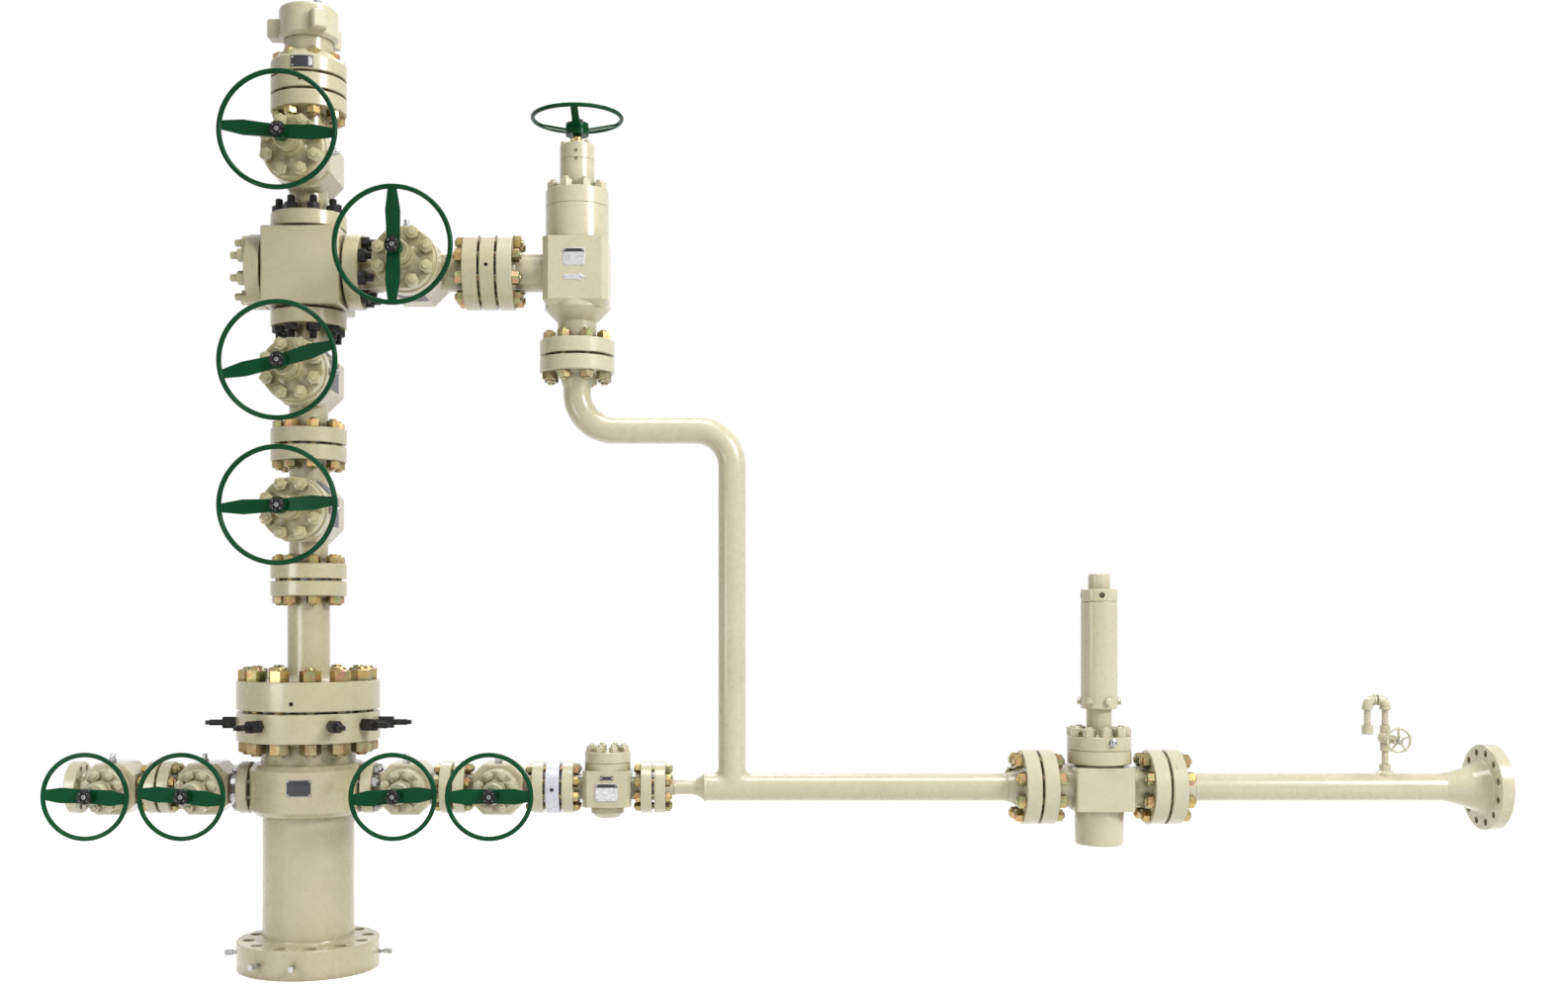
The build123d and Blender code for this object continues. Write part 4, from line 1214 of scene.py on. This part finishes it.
@dataclass
class DataPlates:
    """Plain metal plates, with a dark band and a rivet in each corner, and flow arrows."""

    thick: float = 0.0016
    soft_corner: float = 0.004
    flat_corner: float = 0.003
    rivet: Outline = ((0.0042, 0), (0.0042, 0.00126), (0.00294, 0.00294), (0, 0.00357))
    rivet_steps: int = 10
    margin: float = 0.007
    band: float = 0.20
    band_edge: float = 0.002
    strip_steps: int = 14
    head_size: Pair = (0.100, 0.068)
    head_reach: float = 0.240
    head_rise: float = 0.020
    head_turn: float = 4.0
    cap_size: Pair = (0.090, 0.046)
    cap_rise: float = 0.030
    cap_turn: float = 3.0
    choke_size: Pair = (0.090, 0.070)
    choke_front: float = 0.134
    choke_shift: Point = (-0.004, 0, 0.037)
    arrow_shift: Point = (0, 0, -0.046)
    arrow_rivets: Pair = (-0.03854, 0.02585)
    check_size: Pair = (0.092, 0.072)
    check_front: float = 0.0925
    check_thick: float = 0.0045
    check_shift: Point = (0, 0, -0.012)
    banner_shift: Point = (0, 0, 0.046)
    banner_rivets: Pair = (-0.02125, 0.02125)
    cheek_deep: float = 0.150
    cheek_front: float = 0.068
    wing_size: Pair = (0.108, 0.130)
    wing_along: float = 0.006
    wing_front: float = 0.080
    block_half: float = 0.122
    block_run: float = 0.125
    block_cut: float = 0.060

    def build(self) -> None:
        """Makes every plate on its face."""
        run = centre(RUN).z
        low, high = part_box("tree_cap")
        head = Vector((0, 0, run + self.head_rise))
        self.bent("head_plate", self.head_size, head, self.head_turn, self.head_reach, HEAD_PLATE_LAYERS)
        cap = Vector((0, 0, low.z + self.cap_rise))
        self.bent("cap_plate", self.cap_size, cap, self.cap_turn, (high.x - low.x) / 2, CAP_PLATE_LAYERS)
        choke = centre("choke_bonnet")
        choke.y = -self.choke_front
        choke.z = centre("flow_cross").z
        self.flat("choke_plate", self.choke_size, choke + Vector(self.choke_shift), self.thick)
        arrow = choke + Vector(self.arrow_shift)
        self.cut("choke_arrow", Finish.PLATE, ARROW, arrow, self.thick, self.arrow_rivets)
        check = centre("check_valve_cap")
        check.y = -self.check_front
        check.z = run
        self.flat("check_plate", self.check_size, check + Vector(self.check_shift), self.check_thick)
        banner = check + Vector(self.banner_shift)
        self.cut("check_banner", Finish.PLATE_INK, BANNER, banner, self.check_thick, self.banner_rivets)
        for valve in ("lower_master", "upper_master"):
            self.valve_plates(valve)
        self.wing_plate()

    def wing_plate(self) -> None:
        """Makes the plain grey plate under the wing valve's block."""
        foot = centre("wing_bonnet") + Vector((self.wing_along, 0, -self.block_half))
        foot.y = -self.wing_front
        plate = Shape.plate(*self.wing_size, self.thick, self.soft_corner)
        Piece("wing_foot_plate", Finish.LEAD).add(plate, shifted(foot, Way.DOWN)).settle()

    def valve_plates(self, valve: str) -> None:
        """Makes the plain grey plates on a master valve's right cheek and its upper slope.

        Args:
            valve: Name of the valve.
        """
        middle = centre(f"{valve}_bonnet")
        middle.y = -self.cheek_front
        half, run, cut = self.block_half, self.block_run, self.block_cut
        tall = 2 * (run - cut) - self.margin
        slope = cut * math.sqrt(2) - self.margin
        piece = Piece(f"{valve}_side_plates", Finish.LEAD)
        cheek = Shape.plate(tall, self.cheek_deep, self.thick, self.soft_corner)
        piece.add(cheek, shifted(middle + Vector((half, 0, 0)), Way.RIGHT))
        tilt = Matrix.Translation(middle + Vector((half - cut / 2, 0, run - cut / 2)))
        upper = Shape.plate(slope, self.cheek_deep, self.thick, self.soft_corner)
        piece.add(upper, tilt @ Matrix.Rotation(math.radians(45), 4, "Y")).settle()

    def corners(self, size: Pair) -> list[Pair]:
        """Where the rivets of a plate sit."""
        x, y = size[0] / 2 - self.margin, size[1] / 2 - self.margin
        return [(x, y), (-x, y), (-x, -y), (x, -y)]

    def rivets(self, name: str, places: Sequence[Matrix]) -> None:
        """Makes a plate's rivets at their places."""
        head = Shape.turned(self.rivet, self.rivet_steps)
        Piece(f"{name}_rivets", Finish.ZINC).add(head, *places).settle()

    def front_rivets(self, name: str, place: Vector, thick: float, spots: Sequence[Pair]) -> None:
        """Makes the rivets of a plate on a front face.

        Args:
            name: Name of the plate.
            place: The plate's middle, on the face.
            thick: Its thickness.
            spots: The rivets' places from its middle, along X and Z.
        """
        self.rivets(name, [shifted(place + Vector((x, -thick, z)), Way.FRONT) for x, z in spots])

    def flat(self, name: str, size: Pair, place: Vector, thick: float) -> None:
        """Makes a flat plate on a front face.

        Args:
            name: Name of the plate.
            size: Its width and height.
            place: Its middle, on the face.
            thick: Its thickness.
        """
        wide, tall = size
        plate = Shape.plate(wide, tall, thick, self.flat_corner)
        Piece(name, Finish.PLATE).add(plate, shifted(place, Way.FRONT)).settle()
        high, edge = tall * self.band, self.band_edge
        middle = place + Vector((0, self.thick / 4 - thick, tall / 2 - high / 2 - edge))
        band = Shape.plate(wide - 2 * edge, high, self.thick / 2, edge)
        ink = Piece(f"{name}_band", Finish.PLATE_INK, slot=plate_slot(Finish.PLATE_INK))
        ink.add(band, shifted(middle, Way.FRONT)).settle()
        self.front_rivets(name, place, thick, self.corners(size))

    def bent(
        self, name: str, size: Pair, axis: Vector, angle: float, reach: float, layers: Sequence[PlateLayer]
    ) -> None:
        """Makes a plate bent round an upright cylinder.

        Args:
            name: Name of the plate.
            size: Its width along the arc and its height.
            axis: Point on the cylinder's axis at the plate's middle.
            angle: Turn from the front towards +X, in degrees.
            reach: Radius of the cylinder.
            layers: The plate's sheet and the fields on it.
        """
        wide, tall = size
        for step, layer in enumerate(layers):
            inner = reach - self.thick / 2
            outer = reach + self.thick * (1 + step / 4)
            low, high = ((share - 0.5) * tall for share in layer.rise)
            start, end = (math.degrees((share - 0.5) * wide / reach) for share in layer.run)
            outline = ((inner, low), (outer, low), (outer, high), (inner, high))
            piece = Piece(f"{name}_{layer.name}", layer.finish, slot=plate_slot(layer.finish))
            strip = Shape.turned(outline, self.strip_steps, end - start, True)
            piece.add(strip, Matrix.Translation(axis) @ spoke(angle - 90 + start)).settle()
        spots = []
        for x, y in self.corners(size):
            turn = angle + math.degrees(x / reach)
            spots.append(outwards(axis + Vector((0, 0, y)), turn, reach + self.thick))
        self.rivets(name, spots)

    def cut(
        self, name: str, finish: Finish, outline: Outline, place: Vector, thick: float, rivets: Pair
    ) -> None:
        """Makes a plate that is cut to an outline, on a front face.

        Args:
            name: Name of the plate.
            finish: Its finish.
            outline: Its corners.
            place: Its middle, on the face.
            thick: Its thickness.
            rivets: Where its two rivets sit along X.
        """
        piece = Piece(name, finish, slot=plate_slot(finish))
        piece.add(Shape.sheet(outline, thick), shifted(place, Way.FRONT)).settle()
        self.front_rivets(name, place, thick, [(x, 0) for x in rivets])


@dataclass
class ChokeTrim:
    """Small pieces of the choke: cap screws, set screws, packing gland and wheel nut."""

    screws: int = 6
    screw_circle: float = 0.120
    screw_across: float = 0.017
    screw_tall: float = 0.010
    screw_start: float = 0.25
    set_screw: Outline = ((0.006, -0.002), (0.006, 0.0008), (0.0036, 0.0012), (0.003, -0.001), (0, -0.001))
    set_steps: int = 14
    set_drops: Pair = (0.040, 0.074)
    tower_wide: float = 0.144
    gland: Outline = (
        (0.017, 0), (0.024, 0), (0.024, 0.01156), (0.01968, 0.0136), (0.01968, 0.03196), (0.01824, 0.034),
        (0.017, 0.034),
    )
    gland_steps: int = 24
    boss_drop: float = 0.033

    def build(self) -> None:
        """Makes the choke's small pieces."""
        top = centre("choke_bonnet")
        top.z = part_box("choke_bonnet")[1].z
        place = shifted(top, Way.UP)
        angles = [360 / self.screws * (k + self.screw_start) for k in range(self.screws)]
        screws = Piece("choke_cap_screws", Finish.WORN_SHADED_IVORY, slot="ivory_paint")
        head = Shape.hexagon(self.screw_across, self.screw_tall)
        screws.add(head, *(place @ spoke(angle, self.screw_circle / 2) for angle in angles)).settle()
        drops = [top - Vector((0, 0, drop)) for drop in self.set_drops]
        sockets = Piece("choke_set_screws", Finish.BLACK, slot="black_steel")
        screw = Shape.turned(self.set_screw, self.set_steps)
        sockets.add(screw, *(outwards(drop, 0, self.tower_wide / 2) for drop in drops)).settle()
        gland = Shape.turned(self.gland, self.gland_steps, closed=True)
        Piece("choke_packing_gland", Finish.BRASS).add(gland, place).settle()
        self.wheel_nut()

    def wheel_nut(self) -> None:
        """Makes the nut that holds the choke's handwheel."""
        wheel = "choke_handwheel"
        boss = centre(wheel)
        boss.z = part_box(wheel)[1].z - self.boss_drop
        nut = Piece(f"{wheel}_nut", Finish.BLACK, wheel, "black_steel")
        CHOKE_WHEEL_NUT.dress(nut, shifted(boss, Way.UP))


@dataclass
class SafetyTrim:
    """Small pieces of the safety valve: actuator screws and the bonnet's vent fitting."""

    screws: int = 6
    screw_start: float = 14.5
    screw_rise: float = 0.032
    screw_across: float = 0.028
    screw_tall: float = 0.014
    screw_spin: float = 25.0
    collar: Outline = ((0, -0.004), (0.01736, -0.004), (0.01736, 0.002), (0.01636, 0.003), (0, 0.003))
    collar_steps: int = 18
    cylinder: float = 0.075
    bonnet: float = 0.131
    vent_angle: float = 11.0
    vent_drop: float = 0.021

    def build(self) -> None:
        """Makes the safety valve's small pieces."""
        axis = centre("safety_valve_actuator")
        axis.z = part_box("safety_valve_actuator")[0].z + self.screw_rise
        screws = Piece("actuator_screws", Finish.IVORY, slot="ivory_paint")
        head = Shape.hexagon(self.screw_across, self.screw_tall)
        collar = Shape.turned(self.collar, self.collar_steps)
        for k in range(self.screws):
            place = outwards(axis, self.screw_start + 360 / self.screws * k, self.cylinder)
            screws.add(head, place @ spoke(self.screw_spin * k)).add(collar, place)
        screws.settle()
        axis.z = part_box("safety_valve_bonnet")[0].z + SAFETY_BONNET_BOLTS.seat - self.vent_drop
        vent = Piece("bonnet_vent_fitting", Finish.ZINC)
        BONNET_VENT.dress(vent, outwards(axis, self.vent_angle, self.bonnet - SUNK))


@dataclass
class BleedTrim:
    """The nut on the bleed valve's wheel and the plug on the tree cap's nut."""

    plug_place: Pair = (0.052, -0.060)

    def build(self) -> None:
        """Makes the wheel nut and the plug."""
        wheel = "bleed_handwheel"
        hub = centre(wheel)
        hub.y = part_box(wheel)[0].y
        BLEED_WHEEL_NUT.dress(Piece(f"{wheel}_nut", Finish.ZINC, wheel), shifted(hub, Way.FRONT))
        top = Vector((*self.plug_place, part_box("tree_cap_nut")[1].z - SUNK))
        TREE_CAP_PLUG.dress(Piece("tree_cap_plug", Finish.ZINC), shifted(top, Way.UP))


LINE_PIPE = 0.05715
SMALL_PIPE = 0.03015
HUB_LONG = 0.062
# Where the small hub, the small pipe and the reducer end, from the header's left face.
HEADER_WELDS = (0.082, 0.167, 0.209)


@dataclass
class HeaderPipe:
    """The header: small flange, reducer, line pipe and tree flange, with a rounded tee for the riser."""

    small_flange: Pair = (0.108, 0.046)
    small_hub: float = 0.046
    hub: float = 0.076
    flange: Pair = (0.1555, 0.062)
    ease: float = 0.003
    stub_tall: float = 0.096
    fillet: float = 0.026
    fade: float = 0.6
    depth: float = 0.95
    steps: int = 64
    arc_steps: int = 6

    def run(self, long: float) -> Mesh:
        """The header's straight run, along Z.

        Args:
            long: Its length.

        Returns:
            The mesh.
        """
        e, (a, thin), (r, thick) = self.ease, self.small_flange, self.flange
        top = long - thick
        hub_end, pipe_end, reducer_end = HEADER_WELDS
        outline = (
            (0, 0), (a - e, 0), (a, e), (a, thin - e), (a - e, thin), (self.small_hub, thin),
            (SMALL_PIPE, hub_end), (SMALL_PIPE, pipe_end), (LINE_PIPE, reducer_end),
            (LINE_PIPE, top - HUB_LONG), (self.hub, top), (r - e, top), (r, top + e),
            (r, long - e), (r - e, long), (0, long),
        )
        return Shape.turned(outline, self.steps)

    def saddle_point(self, angle: float, step: int) -> Vector:
        """A point of the fillet between riser and header.

        Args:
            angle: Direction round the riser, from the header's own, in radians.
            step: Step across the fillet; the one after the last arc step lies inside the pipes.

        Returns:
            The point, from the crossing of the two axes.
        """
        across = abs(math.cos(angle))
        crease = Vector((math.cos(angle), math.sin(angle), across)) * LINE_PIPE
        if step == self.arc_steps + 1:
            return crease * self.depth
        t = (step % (self.arc_steps + 2)) / self.arc_steps
        reach = self.fillet * across ** self.fade
        return crease + Vector((reach * t * t, 0, reach * (1 - t) ** 2))

    def saddle(self) -> Mesh:
        """The fillet on the tee's +X side.

        Returns:
            The mesh.
        """
        bm = bmesh.new()
        rows = self.arc_steps + 2
        bmesh.ops.create_grid(bm, x_segments=self.steps // 2, y_segments=rows, size=1)
        for vert in bm.verts:
            step = round((vert.co.y + 1) / 2 * rows)
            vert.co = self.saddle_point(vert.co.x * math.pi / 2, step)
        return Shape.kept(bm)

    def build(self) -> None:
        """Makes the header in the place of its plain solid."""
        low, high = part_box("header_pipe")
        axis = centre(RUN).z
        tee = Vector((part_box("riser_pipe")[1].x - LINE_PIPE, 0, axis))
        piece = Piece("rounded_header", Finish.IVORY, slot="ivory_paint")
        piece.add(self.run(high.x - low.x), shifted(Vector((low.x, 0, axis)), Way.RIGHT))
        piece.add(Shape.rod(LINE_PIPE, 0, self.stub_tall, steps=self.steps), Matrix.Translation(tee))
        piece.add(self.saddle(), *(shifted(tee, Way.UP, turn) for turn in (0, 180)))
        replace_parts(piece.settle(), "header_pipe")


@dataclass
class WeldBeads:
    """Painted weld beads round the pipes."""

    wide: float = 0.012
    proud: float = 0.0025
    crown: Outline = ((0.1, -1), (0.8, -0.5), (1, 0), (0.8, 0.5), (0.1, 1))
    rough_from: float = 0.5
    steps: int = 96
    wobble: float = 0.0006
    smooth: float = 50.0
    seed: int = 7

    def bead(self, radius: float, dice: random.Random) -> Mesh:
        """One bead round Z.

        Args:
            radius: Radius of the pipe.
            dice: Source of the bead's small unevenness.

        Returns:
            The mesh.
        """
        w, p = self.wide / 2, self.proud
        crown = ((radius + p * rise, w * along) for rise, along in self.crown)
        outline = ((radius - p, -w), *crown, (radius - p, w))
        mesh = Shape.turned(outline, self.steps, closed=True)
        for vert in mesh.vertices:
            if vert.co.xy.length > radius + p * self.rough_from:
                vert.co *= 1 + dice.uniform(-self.wobble, self.wobble) / radius
        return mesh

    def build(self) -> None:
        """Makes the beads along the header and the outlet."""
        dice = random.Random(self.seed)
        header, outlet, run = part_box("header_pipe"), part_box("outlet_pipe"), centre(RUN).z
        start, flange = header[0].x, TREE_BOLTS.seat
        along = (
            *zip((start + weld for weld in HEADER_WELDS), (SMALL_PIPE, SMALL_PIPE, LINE_PIPE)),
            (header[1].x - flange - HUB_LONG, LINE_PIPE), (outlet[0].x + flange + HUB_LONG, LINE_PIPE),
            (outlet[1].x, LINE_PIPE),
        )
        piece = Piece("pipe_weld_beads", Finish.IVORY, slot="ivory_paint")
        for x, radius in along:
            piece.add(self.bead(radius, dice), shifted(Vector((x, 0, run)), Way.RIGHT))
        piece.settle(self.smooth)


class CadFinishes:
    """The finish of every CAD node."""

    GREEN = tuple(f"{valve}_handwheel" for valve in BIG_VALVES + SMALL_VALVES) + ("choke_handwheel",)
    DARK_IVORY_NODES = tuple(f"{valve}_body" for valve in BIG_VALVES) + (
        "tubing_head", "tubing_head_adapter", "flow_cross", "cross_blind_flange", "tree_cap",
        "tree_test_rings",
    )
    OTHERS = {
        "lockdown_screws": Finish.BLACK,
        "base_fittings": Finish.ZINC,
        "ring_gaskets": Finish.STEEL,
        "side_test_ring": Finish.BRIGHT,
    }

    def build(self) -> None:
        """Gives each node its material."""
        for name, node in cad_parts.items():
            plain = Finish.DARK_IVORY if name in self.DARK_IVORY_NODES else Finish.IVORY
            finish = Finish.GREEN if name in self.GREEN else self.OTHERS.get(name, plain)
            if not node.material_slots:
                node.data.materials.append(None)
            for slot in node.material_slots:
                slot.material = finish.material


@dataclass(frozen=True)
class Lamp:
    """One soft square lamp, in metres and watts."""

    name: str
    place: Point
    aim: Point
    size: float
    power: float
    tint: Point = (0.97, 0.98, 1.0)

    def build(self) -> None:
        """Hangs the lamp and aims it."""
        data = bpy.data.lights.new(self.name, "AREA")
        data.shape = "SQUARE"
        data.size = self.size
        data.energy = self.power
        data.color = self.tint
        lamp = bpy.data.objects.new(self.name, data)
        lamp.location = self.place
        lamp.rotation_euler = (Vector(self.aim) - Vector(self.place)).to_track_quat("-Z", "Y").to_euler()
        bpy.context.scene.collection.objects.link(lamp)


LAMPS = (
    Lamp("key", (9.0, -5.5, 6.5), (1.6, 0, 1.5), 3.2, 745.0),
    Lamp("fill", (-3.0, -8.5, 3.0), (1.0, 0, 1.6), 4.0, 27.0),
    Lamp("side", (-1.9, -2.6, 1.5), (-0.5, 0, 0.75), 1.2, 29.0),
    Lamp("top", (2.2, -1.8, 7.6), (1.8, 0, 1.2), 3.0, 235.0),
    Lamp("back", (0.5, 7.5, 9.8), (1.6, 0, 1.4), 4.0, 430.0),
)


@dataclass
class Studio:
    """Floor, soft lamps, white surroundings and the camera."""

    place: Point = (1.610, -6.601, 1.4654)
    sensor: float = 36.0
    sight: float = 200.0
    focal_px: float = 1600.0
    image: tuple[int, int] = (1586, 1000)
    centre_px: Pair = (702.6, 621.3)
    floor_wide: float = 14.0
    floor_middle: Point = (2.0, 0.0, -0.0005)
    floor_parts: int = 4
    floor_patches: Grain = Grain(0.6, 3, 0.3, 0.7)
    floor_pale: Colour = (0.84, 0.84, 0.84, 1)
    floor_grey: Colour = (0.82, 0.82, 0.82, 1)
    floor_rough: float = 0.85
    floor_shine: float = 0.1
    floor_glow: float = 0.78
    white: Colour = (1, 1, 1, 1)
    room_light: float = 0.130

    def floor(self) -> None:
        """Lays a plain pale floor."""
        bm = bmesh.new()
        parts = self.floor_parts
        bmesh.ops.create_grid(bm, x_segments=parts, y_segments=parts, size=self.floor_wide / 2)
        mesh = bpy.data.meshes.new("floor")
        bm.to_mesh(mesh)
        bm.free()
        s = Shader("pale_floor")
        colour = s.blend(s.level(self.floor_patches), self.floor_pale, self.floor_grey)
        glow = s.background_seen(0.0, self.floor_glow)
        mesh.materials.append(s.surfaced(
            Base_Color=colour, Roughness=self.floor_rough, Specular_IOR_Level=self.floor_shine,
            Emission_Color=self.white, Emission_Strength=glow,
        ))
        floor = bpy.data.objects.new("floor", mesh)
        floor.location = self.floor_middle
        bpy.context.scene.collection.objects.link(floor)

    def world(self) -> None:
        """White to the camera and in reflections, dimmer as a light."""
        world = bpy.data.worlds.new("surroundings")
        world.use_nodes = True
        tree = Tree(world.node_tree)
        strength = tree.background_seen(self.room_light, 1.0)
        tree.fill(tree.nodes["Background"], {"Color": self.white, "Strength": strength})
        bpy.context.scene.world = world

    def camera(self) -> None:
        """Sets the camera to the photograph's viewing angle."""
        wide, tall = self.image
        data = bpy.data.cameras.new("camera")
        data.sensor_fit = "HORIZONTAL"
        data.sensor_width = self.sensor
        data.lens = self.sensor * self.focal_px / wide
        data.shift_x = (wide / 2 - self.centre_px[0]) / wide
        data.shift_y = (self.centre_px[1] - tall / 2) / wide
        data.clip_end = self.sight
        camera = bpy.data.objects.new("camera", data)
        camera.location = self.place
        camera.rotation_euler = (math.radians(90), 0, 0)
        bpy.context.scene.collection.objects.link(camera)
        bpy.context.scene.camera = camera

    def build(self) -> None:
        """Sets up floor, light and camera."""
        self.floor()
        self.world()
        for lamp in LAMPS:
            lamp.build()
        self.camera()
        bpy.context.scene.view_settings.view_transform = "Standard"


def main() -> None:
    """Builds the pieces in order, from the finishes of the CAD nodes to the studio."""
    logging.basicConfig(level=logging.INFO, format="%(message)s")
    makers: tuple[Callable[[], object], ...] = (
        CadFinishes, FlangeBolting, GateBonnets, BonnetBolting, WheelNuts, GreaseFittings, DataPlates,
        ChokeTrim, SafetyTrim, BleedTrim, HeaderPipe, WeldBeads, Studio,
    )
    for maker in makers:
        part = maker()
        LOG.info("building %s", type(part).__name__)
        part.build()


if __name__ == "__main__":
    main()
